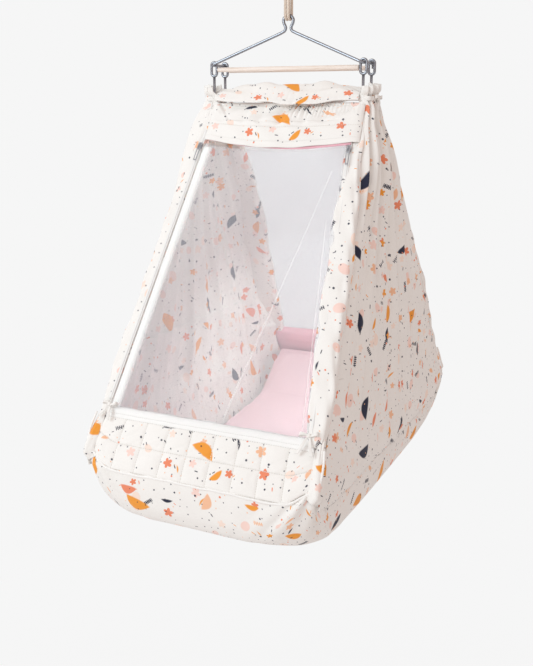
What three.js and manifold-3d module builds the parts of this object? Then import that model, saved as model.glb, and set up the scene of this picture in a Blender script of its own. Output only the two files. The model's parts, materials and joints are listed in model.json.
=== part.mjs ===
// A hanging baby cradle: a fabric tent with a net door and a soft tub, carried by two bent-rod side frames.
// The frames hang with small eyes on the bars of a triangular rod hanger, and a doubled rope holds the hanger
// under a swivelling ceiling eye.
// Sizes are in millimetres. +Z is up, +X is to the right of the net door, and the door faces -Y.
import * as THREE from "three";
import { mergeVertices } from "three/addons/utils/BufferGeometryUtils.js";
import Module from "manifold-3d";

const wasm = await Module();
wasm.setup();

// Rod frame
const cradleLength = 760; // between the rod centres of the front and rear bottom corners
const cradleWidth = 423; // between the rod centres of the two side rails
const topWidth = 298; // between the two hanger bars
const legSpacing = 43; // between the front and the rear eye on one hanger bar
const barHeight = 671; // hanger bars above the side rails
const legUpright = 76; // from a leg's bend up to the hanger bar
const frameRod = 5;
const frameBend = 8.5;
const eyeHalfHeight = 12.5; // of an eye's centre line
const eyeSegments = 12;
const endRailInset = 14; // from a bottom corner back to the end rail
const endRailEyeGap = 0.4;

// Hanger
const hangerRod = 5.5;
const hangerBend = 6;
const hangerCorner = 31; // from the middle of a bar to its front bend
const barTail = 29; // from the middle of a bar to its rear bend
const barTailDrop = 9;
const hangerRise = 84; // from the bars up to the rope seat
const seatHalfWidth = 9.6; // of the rope seat's centre line
const seatHeight = 30; // from the arms' inner ends up to the rope seat
const hangingOffset = -12; // from the middle of the cradle to the rope seat, along Y
// Half of the rope seat's outline, in shares of its half width and of its height.
const seatShares = [
  [1.55, 0],
  [0.72, 0.15],
  [0.56, 0.32],
  [0.92, 0.58],
  [1, 0.78],
  [0.58, 0.95],
];
const seatSteps = 18;

// Rope, knot and ceiling swivel
const rope = 5.4;
const ropePitch = 5.95; // between neighbouring strands
const ropeSpan = 190; // between the rope seat and the ceiling eye
const ropeTurns = 2;
const bightSteps = 8;
const strandSteps = 6;
// Where a turn of the rope goes under the rope seat and over the ceiling eye, in shares of the turn.
const lowerBightShares = [0.2, 0.3];
const upperBightShares = [0.7, 0.8];
const ropeSeatGap = 1.2; // under the seat's crown, so that the rope clears its shoulders
const ropeEyeGap = 1.3; // over the eye's lowest point, so that the rope clears its sides
const ropeEndGap = 0.6;
const knotOffset = 10.3; // of the knot in front of the middle strand
const knotRadius = 6.6;
const knotHeight = 17;
const knotReach = 38; // height over which the rope's ends come to the knot
const eyeRod = 8;
const eyeRadius = 22; // of the ceiling eye's centre line
const stemLength = 16; // from the ceiling eye to the hub
const stemHead = 16;
const stemHeadHeight = 3.6;
const plateDiameter = 90;
const plateThickness = 5;
const hubDiameter = 26;
const hubHeight = 12;
const hubLip = 5; // below the swivel's head
const swivelGap = 0.4;
const screwHole = 5.2;
const screwCircle = 66;
const screwCount = 4;

// Wooden spreaders
const dowelDiameter = 8.5;
const dowelDrop = 8; // below the hanger bars
const dowelGap = 0.3;

// Layers of cloth on an end, as distances outwards from the plane of its two legs
const sleeveDepth = 16.4;
const doorLayer = 9.1;
const rearNetTopLayer = 10.3; // of the rear net under the valance's lining
const liningLayer = 11.5;
const valanceLayer = 13.4;

// Sleeves over the sloping legs
const sleeveWidth = 36;
const sleeveBore = 6.6;
const sleeveBottom = 106; // along the leg from the bottom corner
const sleeveTop = 688;
const leftSleeveShift = -6; // outwards from the rod
const rightSleeveShift = -9;
const rearSleeveShift = -12;
const frontSleeveFullness = 2.6; // bulge of a sleeve between its ends
const rearSleeveFullness = 11;
const sleeveSides = 12;
const sleeveRings = 4;
const sleeveSquarePower = 0.45; // below 1, a sleeve's section is fuller than an ellipse
const sleeveNeckShare = 0.62; // width left where a sleeve is gathered at its top

// Net door, rear net and zips
const net = 0.8;
const doorBottom = 99;
const doorTop = 600;
const doorHemRise = 12; // of the door's top corners over its middle
const doorEdge = 6.35; // from a zip's middle to the door's edge
const leftZipInset = 7; // from the leg to the zip's middle
const rightZipInset = 11;
const zipTape = 12;
const zipTapeThickness = 1.2;
const zipCoil = 3.2;
const zipCoilHeight = 1.1;
const zipBottom = 107;
const zipTop = 640;
const doorColumns = 8;
const rearNetColumns = 6;
const netRows = 3;
const rearNetInset = 17;
const rearNetTop = 640;

// Zip slider and pull
const sliderRest = 606; // along the leg from the bottom corner
const sliderWidth = 9;
const sliderLength = 12;
const sliderHeight = 3.6;
const sliderGap = 0.3;
const bailWidth = 2.4;
const bailLength = 9;
const bailHeight = 3.4;
const bailSlotLength = 5.6;
const bailSlotHeight = 2;
const pullWidth = 7.4;
const pullLength = 32;
const pullThickness = 1;
const pullBar = 1.2;
const pullArm = 1.8;
const pullSlot = 6.4;

// Valance, its lining and the roof
const valanceHalfWidth = 143.9;
const valanceThickness = 2;
const valanceTop = 700;
const valanceHem = 604;
const valanceHemRise = 17; // of the hem's ends over its middle
const valanceBulge = 5;
const valanceFold = 1.6;
const valanceFolds = 8;
const columnsPerFold = 3;
const valanceRows = 4;
const liningThickness = 0.8;
const liningDrop = 3; // of the lining under the hem
const roofSpread = 29.6; // from the middle to a seam
const roofSeam = 607.2;
const roofRise = 30;
const roofThickness = 1.4;
const roofRipple = 2.2;
const roofRipples = 3;
const roofColumns = 12;
const roofRows = 8;
const roofFlatShare = 0.35; // fall of the roof's crown towards its ends

// Side panels
const panelThickness = 1.2;
const panelTop = 618;
const panelSeam = -33; // height of the seam with the floor, along most of a side
const panelSeamEnd = -16; // height of the seam at the corners
const panelSeamBend = 290; // along Y, where the seam starts to rise
const panelEdge = 11; // from a leg back to the panel's edge
const panelOffset = 10.8; // of the panel's edges outside the legs
const panelTopOffset = 9.5;
const panelBottomOffset = 5;
const panelBulge = 29;
const panelBulgeHeight = 500;
const panelBulgePower = 0.28; // how fast the bulge grows from the panel's edges
const panelTopHalfSpan = 11;
const panelPleats = 9;
const panelPleatDepth = 6.5;
const pleatDepthShare = 0.13; // most depth of a pleat, of its own width
const pleatFootShare = 0.25; // depth that a pleat keeps at the seam
const columnsPerPleat = 3;
// Rows of a side panel, in shares of its height from the top.
const panelRowShares = [0, 0.05, 0.11, 0.19, 0.32, 0.48, 0.65, 0.81, 0.9, 0.95, 1];

// Tub: bumpers, linings, bindings, piping and the hanging floor
const bumperBottom = -11;
const bumperTop = 78;
const bumperEndGap = 4.4;
const bumperSeam = 4.6; // thickness on the stitch lines
const bumperPad = 12;
const bumperCells = 9;
const bumperTiers = 2;
const bumperSteps = 3; // facets over a padded cell
const bumperLift = 1.5; // of the pad outwards
const bumperLiningLayer = -5.3;
const bumperLiningColumns = 4;
const bumperLiningRows = 2;
const bindingTop = 97;
const bindingGap = 0.6;
const bindingThickness = 9;
const bindingEndGap = 7;
const bindingRoundShare = 0.6;
const bindingColumns = 6;
const bindingRows = 4;
const piping = 4.4;
const pipingTop = 81;
const pipingLayer = 4;
const pipingBottomLayer = 0.5;
const pipingOutset = 6;
const pipingSag = 15.5;
const pipingBend = 16;
const floorThickness = 1.6;
const floorHalfWidth = 214.5;
const floorHalfLength = 386.5;
const floorCorner = 24; // radius of its rim's corners
const floorLowCorner = 105; // radius of the corners at its bottom
const floorSeamGap = 1.2;
const floorDepth = 114;
// The floor's depth along the cradle, front to rear, in shares of its half length and of its depth.
const floorDepthShares = [
  [-1, 0.96],
  [-0.8, 0.98],
  [-0.35, 1],
  [0.1, 0.98],
  [0.5, 0.9],
  [0.75, 0.77],
  [1, 0.56],
];
// A section of the floor from its rim inwards: shares of the plan and of the depth.
const floorSectionShares = [
  [1, 0],
  [1, 0.35],
  [0.985, 0.66],
  [0.94, 0.87],
  [0.85, 0.97],
  [0.68, 1],
  [0.51, 1],
  [0.34, 1],
  [0.17, 1],
];
const floorCornerSteps = 3;
const floorSideSteps = 8;
const floorEndSteps = 4;

// Mattress
const mattressHalfWidth = 184;
const mattressCornerTuck = 0.1; // how much narrower its ends are, as a share of its width
const mattressCornerPower = 8;
const mattressFront = -338;
const mattressRear = 357;
const mattressThickness = 44;
const mattressEdge = 24; // its thickness at the border
const mattressSeatGap = 1.7;
const mattressKink = 240; // along Y, where the head end starts to rise
const mattressRise = 40;
const mattressSidePower = 6; // how square the crown's shoulders are along its sides
const mattressEndPower = 20; // and at its ends
const mattressColumns = 10;
const mattressRows = 16;

// Ties
const tieWidth = 8;
const tieThickness = 1.8;
const topTieHeight = 606.5;
const topTieInner = 146.2;
const topTieOuter = 165.6;
const topTieHalfSpan = 25.4;
const topTieRound = 5;
const rimTieHeight = 88;
const rimTieBore = 5.8;
const bowKnot = 3.6; // radius
const bowLoop = 4.4;
const bowLoopSpread = 7.2;
const bowLoopShare = 0.62; // height of a loop, of its length
const bowStrand = 1.5;
const bowTail = 24;
const bowTailWidth = 4;
const bowTailThickness = 1.4;
const bowTailTurn = 0.35;
const bowTailLean = 0.14; // of the tails outwards
const bowSegments = 8;
const strandSides = 5;

const rodSides = 8;
const bendSteps = 3;
const arcSides = 28;
const overrun = 1; // of a cut past the face it opens

const finish = (color, roughness, metalness = 0) =>
  new THREE.MeshStandardMaterial({ color, roughness, metalness });
const finishes = {
  chrome: finish("#b9bcc2", 0.25, 1),
  steel: finish("#9a9ca0", 0.4, 1),
  wood: finish("#e8d6bd", 0.6),
  rope: finish("#cbbba2", 0.95),
  print: finish("#f4ece2", 0.9),
  white: finish("#f7f6f3", 0.85),
  pink: finish("#f2c3cd", 0.9),
  net: finish("#eef0f2", 0.8),
};

// Derived measures
const legBendHeight = barHeight - legUpright; // where a leg leaves the upright and slopes out
const legRun = (cradleLength - legSpacing) / 2;
const slopeLength = Math.hypot(legRun, legBendHeight);
const seatTop = barHeight + hangerRise;
const eyeWire = seatTop + ropeSpan;
const eyeTop = eyeWire + 2 * eyeRadius;
const hubBottom = eyeTop + stemLength;
const plateBottom = hubBottom + hubHeight;
const plateTop = plateBottom + plateThickness;

const sides = [
  { name: "left", sign: -1 },
  { name: "right", sign: 1 },
];
const ends = [
  { name: "front", sign: -1 },
  { name: "rear", sign: 1 },
];

const cradle = new THREE.Group();

function add(name, geometry, material) {
  const mesh = new THREE.Mesh(geometry, material);
  mesh.name = name;
  cradle.add(mesh);
  return mesh;
}

// Solids for joining and cutting

function solid(geometry) {
  const bare = geometry.clone();
  bare.deleteAttribute("normal");
  bare.deleteAttribute("uv");
  const merged = mergeVertices(bare);
  return new wasm.Manifold(
    new wasm.Mesh({
      numProp: 3,
      vertProperties: merged.attributes.position.array,
      triVerts: new Uint32Array(merged.index.array),
    }),
  );
}

function geometryOf(manifold) {
  const mesh = manifold.getMesh();
  const geometry = new THREE.BufferGeometry();
  geometry.setAttribute("position", new THREE.BufferAttribute(new Float32Array(mesh.vertProperties), 3));
  geometry.setIndex(new THREE.BufferAttribute(new Uint32Array(mesh.triVerts), 1));
  geometry.computeVertexNormals();
  return geometry;
}

function join(...geometries) {
  return geometryOf(geometries.map(solid).reduce((whole, piece) => whole.add(piece)));
}

function cut(geometry, ...tools) {
  return geometryOf(tools.map(solid).reduce((whole, tool) => whole.subtract(tool), solid(geometry)));
}

// A vertical cylinder between two heights.
function post(diameter, bottom, top, x = 0, y = 0, segments = arcSides) {
  const geometry = new THREE.CylinderGeometry(diameter / 2, diameter / 2, top - bottom, segments);
  geometry.rotateX(Math.PI / 2);
  geometry.translate(x, y, (bottom + top) / 2);
  return geometry;
}

// Tubes and rods

// A centre line through given stations, so that every station gets its own section of the tube.
class StationPath extends THREE.Curve {
  constructor(stations) {
    super();
    this.stations = stations;
  }
  getPoint(share, target = new THREE.Vector3()) {
    const last = this.stations.length - 1;
    const place = share * last;
    const index = Math.min(Math.floor(place), last - 1);
    return target.lerpVectors(this.stations[index], this.stations[index + 1], place - index);
  }
  getPointAt(share, target) {
    return this.getPoint(share, target);
  }
  getTangentAt(share, target = new THREE.Vector3()) {
    const last = this.stations.length - 1;
    const index = Math.round(share * last);
    const before = this.stations[Math.max(index - 1, 0)];
    const here = this.stations[index];
    const after = this.stations[Math.min(index + 1, last)];
    const arriving = here.clone().sub(before).normalize();
    const leaving = after.clone().sub(here).normalize();
    return target.addVectors(arriving, leaving).normalize();
  }
}

function tube(stations, diameter, segments = rodSides) {
  const section = new THREE.Shape();
  for (let i = 0; i < segments; i++) {
    const turn = (2 * Math.PI * i) / segments;
    const point = [(diameter / 2) * Math.cos(turn), (diameter / 2) * Math.sin(turn)];
    if (i === 0) section.moveTo(...point);
    else section.lineTo(...point);
  }
  section.closePath();
  return new THREE.ExtrudeGeometry(section, {
    steps: stations.length - 1,
    extrudePath: new StationPath(stations),
    bevelEnabled: false,
  });
}

// Stations of a rod bent at each inner point, with a rounded bend of the given radius.
function bent(points, radius) {
  const stations = [points[0]];
  for (let i = 1; i < points.length - 1; i++) {
    const arriving = points[i].clone().sub(points[i - 1]).normalize();
    const leaving = points[i + 1].clone().sub(points[i]).normalize();
    const reach = radius * Math.tan(arriving.angleTo(leaving) / 2);
    const from = points[i].clone().addScaledVector(arriving, -reach);
    const to = points[i].clone().addScaledVector(leaving, reach);
    const bend = new THREE.QuadraticBezierCurve3(from, points[i], to);
    stations.push(...bend.getPoints(bendSteps));
  }
  stations.push(points[points.length - 1]);
  return stations;
}

// A closed surface over rings of points. Each ring joins the next, and the last joins the first when closed;
// otherwise the first and last rings are single points.
function loft(rings, closed) {
  const positions = rings.flat().flatMap((point) => point.toArray());
  const starts = [];
  rings.reduce((start, ring) => {
    starts.push(start);
    return start + ring.length;
  }, 0);
  const index = [];
  const count = closed ? rings.length : rings.length - 1;
  for (let r = 0; r < count; r++) {
    const next = (r + 1) % rings.length;
    const around = Math.max(rings[r].length, rings[next].length);
    for (let i = 0; i < around; i++) {
      const a = starts[r] + (i % rings[r].length);
      const b = starts[r] + ((i + 1) % rings[r].length);
      const c = starts[next] + ((i + 1) % rings[next].length);
      const d = starts[next] + (i % rings[next].length);
      if (a !== b) index.push(a, b, c);
      if (c !== d) index.push(a, c, d);
    }
  }
  const geometry = new THREE.BufferGeometry();
  geometry.setAttribute("position", new THREE.Float32BufferAttribute(positions, 3));
  geometry.setIndex(index);
  geometry.computeVertexNormals();
  return geometry;
}

// An upright closed loop of rod round a bar that runs along Y, with round ends above and below.
function rodEye(x, y, z, halfWidth, halfHeight, diameter) {
  const rings = [];
  for (let i = 0; i < eyeSegments; i++) {
    const turn = (2 * Math.PI * (i + 1 / 2)) / eyeSegments;
    const out = new THREE.Vector3(Math.cos(turn), 0, Math.sin(turn));
    const centre = new THREE.Vector3(x, y, z + Math.sign(out.z) * (halfHeight - halfWidth));
    centre.addScaledVector(out, halfWidth);
    const ring = [];
    for (let j = 0; j < rodSides; j++) {
      const roll = (2 * Math.PI * j) / rodSides;
      const point = centre.clone().addScaledVector(out, (diameter / 2) * Math.cos(roll));
      point.y += (diameter / 2) * Math.sin(roll);
      ring.push(point);
    }
    rings.push(ring);
  }
  return loft(rings, true);
}

// Cloth

// A closed solid over a grid: surface(u, v) gives its middle and thickness(u, v) its depth.
// Both u and v run from 0 to 1.
function sheet(columns, rows, surface, thickness) {
  const nudge = 1e-3;
  const skins = [[], []];
  for (let j = 0; j <= rows; j++) {
    for (let i = 0; i <= columns; i++) {
      const u = i / columns;
      const v = j / rows;
      const along = surface(Math.min(u + nudge, 1), v).sub(surface(Math.max(u - nudge, 0), v));
      const across = surface(u, Math.min(v + nudge, 1)).sub(surface(u, Math.max(v - nudge, 0)));
      const normal = along.cross(across).normalize();
      const middle = surface(u, v);
      const half = thickness(u, v) / 2;
      skins[0].push(...middle.clone().addScaledVector(normal, half).toArray());
      skins[1].push(...middle.clone().addScaledVector(normal, -half).toArray());
    }
  }
  const back = (columns + 1) * (rows + 1);
  const front = (i, j) => j * (columns + 1) + i;
  const index = [];
  const quad = (a, b, c, d) => index.push(a, b, c, a, c, d);
  for (let j = 0; j < rows; j++) {
    for (let i = 0; i < columns; i++) {
      quad(front(i, j), front(i + 1, j), front(i + 1, j + 1), front(i, j + 1));
      quad(back + front(i, j), back + front(i, j + 1), back + front(i + 1, j + 1), back + front(i + 1, j));
    }
  }
  const rim = (a, b) => quad(b, a, back + a, back + b);
  for (let i = 0; i < columns; i++) {
    rim(front(i, 0), front(i + 1, 0));
    rim(front(i + 1, rows), front(i, rows));
  }
  for (let j = 0; j < rows; j++) {
    rim(front(columns, j), front(columns, j + 1));
    rim(front(0, j + 1), front(0, j));
  }
  const geometry = new THREE.BufferGeometry();
  geometry.setAttribute("position", new THREE.Float32BufferAttribute([...skins[0], ...skins[1]], 3));
  geometry.setIndex(index);
  geometry.computeVertexNormals();
  return geometry;
}

const even = (thickness) => () => thickness;

function smooth(share) {
  const held = Math.min(Math.max(share, 0), 1);
  return held * held * (3 - 2 * held);
}

const blend = (from, to, share) => from + (to - from) * share;

// A value on the straight lines between the rows of a table of shares.
function fromShares(table, place) {
  for (let i = 1; i < table.length; i++) {
    const [start, low] = table[i - 1];
    const [stop, high] = table[i];
    if (place <= stop) return blend(low, high, (place - start) / (stop - start));
  }
  return table[table.length - 1][1];
}

// Places on the cradle

function legPoint(side, end, height) {
  const share = Math.max(0, (legBendHeight - height) / legBendHeight);
  const x = topWidth / 2 + ((cradleWidth - topWidth) / 2) * share;
  const y = legSpacing / 2 + legRun * share;
  return new THREE.Vector3(side * x, end * y, height);
}

// Half the distance between the two legs of an end, at a distance along them from the bottom corners.
const legHalfWidth = (along) => cradleWidth / 2 - (((cradleWidth - topWidth) / 2) * along) / slopeLength;

// A point of an end: across, along its slope from the bottom corners, and outwards from its legs' plane.
function endPoint(end, across, along, outwards) {
  const rise = legBendHeight / slopeLength;
  const run = legRun / slopeLength;
  const y = cradleLength / 2 - run * along + rise * outwards;
  return new THREE.Vector3(across, end * y, rise * along + run * outwards);
}

// A frame on an end with X across, Y down the slope along a line that follows a leg, and Z outwards.
function endFrame(end, side, inset, along, outwards) {
  const place = (distance) => endPoint(end, side * (legHalfWidth(distance) - inset), distance, outwards);
  const down = place(along - slopeLength).sub(place(along)).normalize();
  const inner = endPoint(end, 0, along, outwards);
  const out = endPoint(end, 0, along, outwards + slopeLength).sub(inner).normalize();
  const across = new THREE.Vector3().crossVectors(down, out);
  return new THREE.Matrix4().makeBasis(across, down, out).setPosition(place(along));
}

// Ceiling plate, swivelling eye and rope

function ceilingPlate() {
  const plate = post(plateDiameter, plateBottom, plateTop);
  const hub = post(hubDiameter, hubBottom, plateBottom + overrun);
  const bore = post(eyeRod + 2 * swivelGap, hubBottom - overrun, hubBottom + hubLip + overrun);
  const pocketTop = hubBottom + hubLip + stemHeadHeight + 2 * swivelGap;
  const pocket = post(stemHead + 2 * swivelGap, hubBottom + hubLip, pocketTop);
  const holes = [];
  for (let i = 0; i < screwCount; i++) {
    const turn = (2 * Math.PI * (i + 1 / 2)) / screwCount;
    const x = (screwCircle / 2) * Math.cos(turn);
    const y = (screwCircle / 2) * Math.sin(turn);
    holes.push(post(screwHole, plateBottom - overrun, plateTop + overrun, x, y, arcSides / 2));
  }
  return cut(join(plate, hub), bore, pocket, ...holes);
}

function swivelEye() {
  const ring = new THREE.TorusGeometry(eyeRadius, eyeRod / 2, rodSides, arcSides);
  ring.rotateY(Math.PI / 2);
  ring.translate(0, 0, eyeWire + eyeRadius);
  const headBottom = hubBottom + hubLip + swivelGap;
  const stem = post(eyeRod, eyeTop, headBottom + overrun);
  const head = post(stemHead, headBottom, headBottom + stemHeadHeight);
  return join(ring, stem, head);
}

const lowerBight = (hangerRod + rope) / 2 + ropeSeatGap;
const upperBight = (eyeRod + rope) / 2 + ropeEyeGap;
const knotMiddle = seatTop + ropeSpan / 2;

// A rope station: how far round the winding it is, beside the middle plane, and its height.
function ropeStation(turns, beside, height) {
  const share = smooth((height - seatTop) / ropeSpan);
  const quarter = (Math.PI / 2) * share;
  const middle = ropePitch / 4;
  let shift = ropePitch * (turns - 3 / 4);
  let depth = beside;
  const atEnd = turns < 1 / 4 || turns > ropeTurns - 1 / 4;
  const near = 1 - smooth((Math.abs(height - knotMiddle) - knotHeight / 2 - rope) / knotReach);
  if (atEnd && near > 0) {
    const direction = turns < 1 ? -1 : 1;
    const reach = blend(ropePitch, knotOffset, near);
    shift = middle + direction * reach * Math.cos((Math.PI / 2) * near);
    depth = beside - reach * Math.sin((Math.PI / 2) * near);
  }
  const x = shift * Math.cos(quarter) - depth * Math.sin(quarter);
  const y = shift * Math.sin(quarter) + depth * Math.cos(quarter);
  return new THREE.Vector3(x, y, height);
}

const strandBeside = (height) => blend(lowerBight, upperBight, (height - seatTop) / ropeSpan);

function ropeStrand(turnsFrom, turnsTo, from, to, sign, steps) {
  const stations = [];
  for (let i = 0; i < steps; i++) {
    const height = blend(from, to, i / steps);
    stations.push(ropeStation(blend(turnsFrom, turnsTo, i / steps), sign * strandBeside(height), height));
  }
  return stations;
}

function ropeBight(turnsFrom, turnsTo, height, radius, sign) {
  const stations = [];
  for (let i = 0; i < bightSteps; i++) {
    const turn = (Math.PI * i) / bightSteps;
    const beside = sign * radius * Math.cos(turn);
    const level = height + sign * radius * Math.sin(turn);
    const turns = blend(turnsFrom, turnsTo, i / bightSteps);
    stations.push(ropeStation(turns, beside, level));
  }
  return stations;
}

// The rope starts under the knot, runs twice round the rope seat and the ceiling eye
// and ends above the knot.
function ropeStations() {
  const under = knotMiddle - knotHeight / 2 - ropeEndGap;
  const above = knotMiddle + knotHeight / 2 + ropeEndGap;
  const [lowerIn, lowerOut] = lowerBightShares;
  const [upperIn, upperOut] = upperBightShares;
  const stations = [ropeStation(0, -strandBeside(under), under)];
  for (let turn = 0; turn < ropeTurns; turn++) {
    const from = turn === 0 ? under - rope : knotMiddle;
    const to = turn === ropeTurns - 1 ? above + rope : knotMiddle;
    stations.push(...ropeStrand(turn, turn + lowerIn, from, seatTop, -1, strandSteps));
    stations.push(...ropeBight(turn + lowerIn, turn + lowerOut, seatTop, lowerBight, -1));
    stations.push(...ropeStrand(turn + lowerOut, turn + upperIn, seatTop, eyeWire, 1, 2 * strandSteps));
    stations.push(...ropeBight(turn + upperIn, turn + upperOut, eyeWire, upperBight, 1));
    stations.push(...ropeStrand(turn + upperOut, turn + 1, eyeWire, to, -1, strandSteps));
  }
  stations.push(ropeStation(ropeTurns, -strandBeside(above + rope), above + rope));
  stations.push(ropeStation(ropeTurns, -strandBeside(above), above));
  return stations;
}

// The least clear gap between two stretches of the rope that aren't neighbours along it.
function leastRopeGap(stations) {
  const path = new StationPath(stations);
  const points = path.getPoints(stations.length * 4);
  const reached = [0];
  points.slice(1).forEach((point, i) => reached.push(reached[i] + point.distanceTo(points[i])));
  let least = Infinity;
  for (let i = 0; i < points.length; i++) {
    for (let j = i + 1; j < points.length; j++) {
      if (reached[j] - reached[i] < 3 * rope) continue;
      least = Math.min(least, points[i].distanceTo(points[j]) - rope);
    }
  }
  return least;
}

function ropeKnot() {
  const middle = ropeStation(0, -strandBeside(knotMiddle), knotMiddle);
  const half = knotHeight / 2;
  const outlineShares = [
    [0, -1],
    [0.55, -1],
    [0.92, -0.62],
    [1, 0],
    [0.92, 0.62],
    [0.55, 1],
    [0, 1],
  ];
  const outline = outlineShares.map(([out, up]) => new THREE.Vector2(knotRadius * out, half * up));
  const geometry = new THREE.LatheGeometry(outline, arcSides / 2);
  geometry.rotateX(Math.PI / 2);
  geometry.translate(middle.x, middle.y, middle.z);
  return geometry;
}

// Hanger and rod frames

function hangerStations() {
  const half = seatShares.map(([across, up]) => {
    const height = seatTop - seatHeight + seatHeight * up;
    return new THREE.Vector3(seatHalfWidth * across, hangingOffset, height);
  });
  const mirror = (point, sign) => new THREE.Vector3(sign * point.x, point.y, point.z);
  const crown = new THREE.Vector3(0, hangingOffset, seatTop);
  const mirrored = half.map((point) => mirror(point, -1));
  const outline = [...mirrored, crown, ...half.reverse()];
  const seat = new THREE.CatmullRomCurve3(outline, false, "centripetal").getPoints(seatSteps);
  const bar = (sign) => [
    new THREE.Vector3((sign * topWidth) / 2, barTail, barHeight - barTailDrop),
    new THREE.Vector3((sign * topWidth) / 2, barTail, barHeight),
    new THREE.Vector3((sign * topWidth) / 2, -hangerCorner, barHeight),
  ];
  const left = bent([...bar(-1), seat[0]], hangerBend);
  const right = bent([...bar(1), seat[seat.length - 1]], hangerBend);
  return [...left, ...seat.slice(1, -1), ...right.reverse()];
}

function sideFrame(side) {
  const eyeHalfWidth = (hangerRod + frameRod) / 2 + swivelGap;
  const eyeMiddle = barHeight + eyeHalfWidth - eyeHalfHeight;
  const legTop = eyeMiddle - eyeHalfHeight;
  const corner = (end) => legPoint(side, end, 0);
  const bend = (end) => legPoint(side, end, legBendHeight);
  const top = (end) => legPoint(side, end, legTop);
  const path = [top(-1), bend(-1), corner(-1), corner(1), bend(1), top(1)];
  const eyes = ends.map((end) => {
    const place = top(end.sign);
    return rodEye(place.x, place.y, eyeMiddle, eyeHalfWidth, eyeHalfHeight, frameRod);
  });
  return join(tube(bent(path, frameBend), frameRod), ...eyes);
}

function endRail(end) {
  const eyeHalfWidth = frameRod + endRailEyeGap;
  const y = end * (cradleLength / 2 - endRailInset - frameRod);
  const reach = cradleWidth / 2 - eyeHalfWidth;
  const rod = tube([new THREE.Vector3(-reach, y, 0), new THREE.Vector3(reach, y, 0)], frameRod);
  const eyes = sides.map((side) => {
    return rodEye((side.sign * cradleWidth) / 2, y, 0, eyeHalfWidth, eyeHalfWidth, frameRod);
  });
  return join(rod, ...eyes);
}

function dowel(end) {
  const eyeHalfWidth = (hangerRod + frameRod) / 2 + swivelGap;
  const reach = topWidth / 2 - eyeHalfWidth - frameRod / 2 - dowelGap;
  const geometry = new THREE.CylinderGeometry(dowelDiameter / 2, dowelDiameter / 2, 2 * reach, arcSides / 2);
  geometry.rotateZ(Math.PI / 2);
  geometry.translate(0, (end * legSpacing) / 2, barHeight - dowelDrop);
  return geometry;
}

// Sleeves, nets and zips

function sleeve(end, side, shift, fullness) {
  const squared = (value) => Math.sign(value) * Math.abs(value) ** sleeveSquarePower;
  const ring = (along, halfWidth, halfDepth, offset, full) => {
    const points = [];
    for (let i = 0; i < sleeveSides; i++) {
      const turn = (2 * Math.PI * i) / sleeveSides;
      const across = legHalfWidth(along) + offset + halfWidth * full(Math.cos(turn));
      points.push(endPoint(end, side * across, along, halfDepth * full(Math.sin(turn))));
    }
    return points;
  };
  const outer = [];
  const inner = [];
  for (let i = 0; i <= sleeveRings; i++) {
    const share = i / sleeveRings;
    const along = blend(sleeveBottom, sleeveTop, share);
    const narrow = blend(1, sleeveNeckShare, smooth(2 * share - 1));
    const halfWidth = (sleeveWidth / 2) * narrow + fullness * Math.sin(Math.PI * share);
    outer.push(ring(along, halfWidth, (sleeveDepth / 2) * narrow, shift * narrow, squared));
    inner.unshift(ring(along, sleeveBore / 2, sleeveBore / 2, 0, (value) => value));
  }
  const rings = [...outer, ...inner];
  return loft(end * side > 0 ? rings : rings.reverse(), true);
}

const zipInset = (side) => (side < 0 ? leftZipInset : rightZipInset);
const sliderBase = zipTapeThickness / 2 + sliderGap;

function netDoor() {
  const surface = (u, v) => {
    const rise = doorHemRise * (2 * u - 1) ** 2;
    const along = blend(doorBottom, doorTop + rise, v);
    const edge = (side) => side * (legHalfWidth(along) - zipInset(side) - doorEdge);
    return endPoint(-1, blend(edge(-1), edge(1), u), along, doorLayer);
  };
  return sheet(doorColumns, netRows, surface, even(net));
}

function rearNet() {
  const surface = (u, v) => {
    const along = blend(doorBottom, rearNetTop, v);
    const half = legHalfWidth(along) - rearNetInset;
    return endPoint(1, blend(-half, half, u), along, blend(doorLayer, rearNetTopLayer, v));
  };
  return sheet(rearNetColumns, netRows, surface, even(net));
}

// A zip's tape with its raised coil, along the line where the door meets the sleeve.
function zip(side) {
  const foot = zipTapeThickness / 2;
  const section = new THREE.Shape([
    new THREE.Vector2(-zipTape / 2, -foot),
    new THREE.Vector2(zipTape / 2, -foot),
    new THREE.Vector2(zipTape / 2, foot),
    new THREE.Vector2(zipCoil / 2, foot),
    new THREE.Vector2(zipCoil / 4, foot + zipCoilHeight),
    new THREE.Vector2(-zipCoil / 4, foot + zipCoilHeight),
    new THREE.Vector2(-zipCoil / 2, foot),
    new THREE.Vector2(-zipTape / 2, foot),
  ]);
  const geometry = new THREE.ExtrudeGeometry(section, { depth: zipTop - zipBottom, bevelEnabled: false });
  geometry.rotateX(Math.PI / 2);
  geometry.applyMatrix4(endFrame(-1, side, zipInset(side), zipBottom, doorLayer));
  return geometry;
}

function block(width, length, height, bottom, y = 0) {
  const geometry = new THREE.BoxGeometry(width, length, height);
  geometry.translate(0, y, bottom + height / 2);
  return geometry;
}

// The slider straddles the coil, and its bail holds the pull's bar. X is across the zip and Z is outwards.
function zipSlider(side) {
  const channel = zipCoilHeight + sliderGap;
  const body = block(sliderWidth, sliderLength, sliderHeight, sliderBase);
  const top = sliderBase + sliderHeight;
  const bail = block(bailWidth, bailLength, bailHeight + overrun, top - overrun);
  const grooveWidth = zipCoil + 2 * sliderGap;
  const groove = block(grooveWidth, sliderLength + 2 * overrun, channel + overrun, sliderBase - overrun);
  const slot = block(bailWidth + 2 * overrun, bailSlotLength, bailSlotHeight, top);
  const geometry = cut(join(body, bail), groove, slot);
  geometry.applyMatrix4(endFrame(-1, side, zipInset(side), sliderRest, doorLayer));
  return geometry;
}

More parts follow.
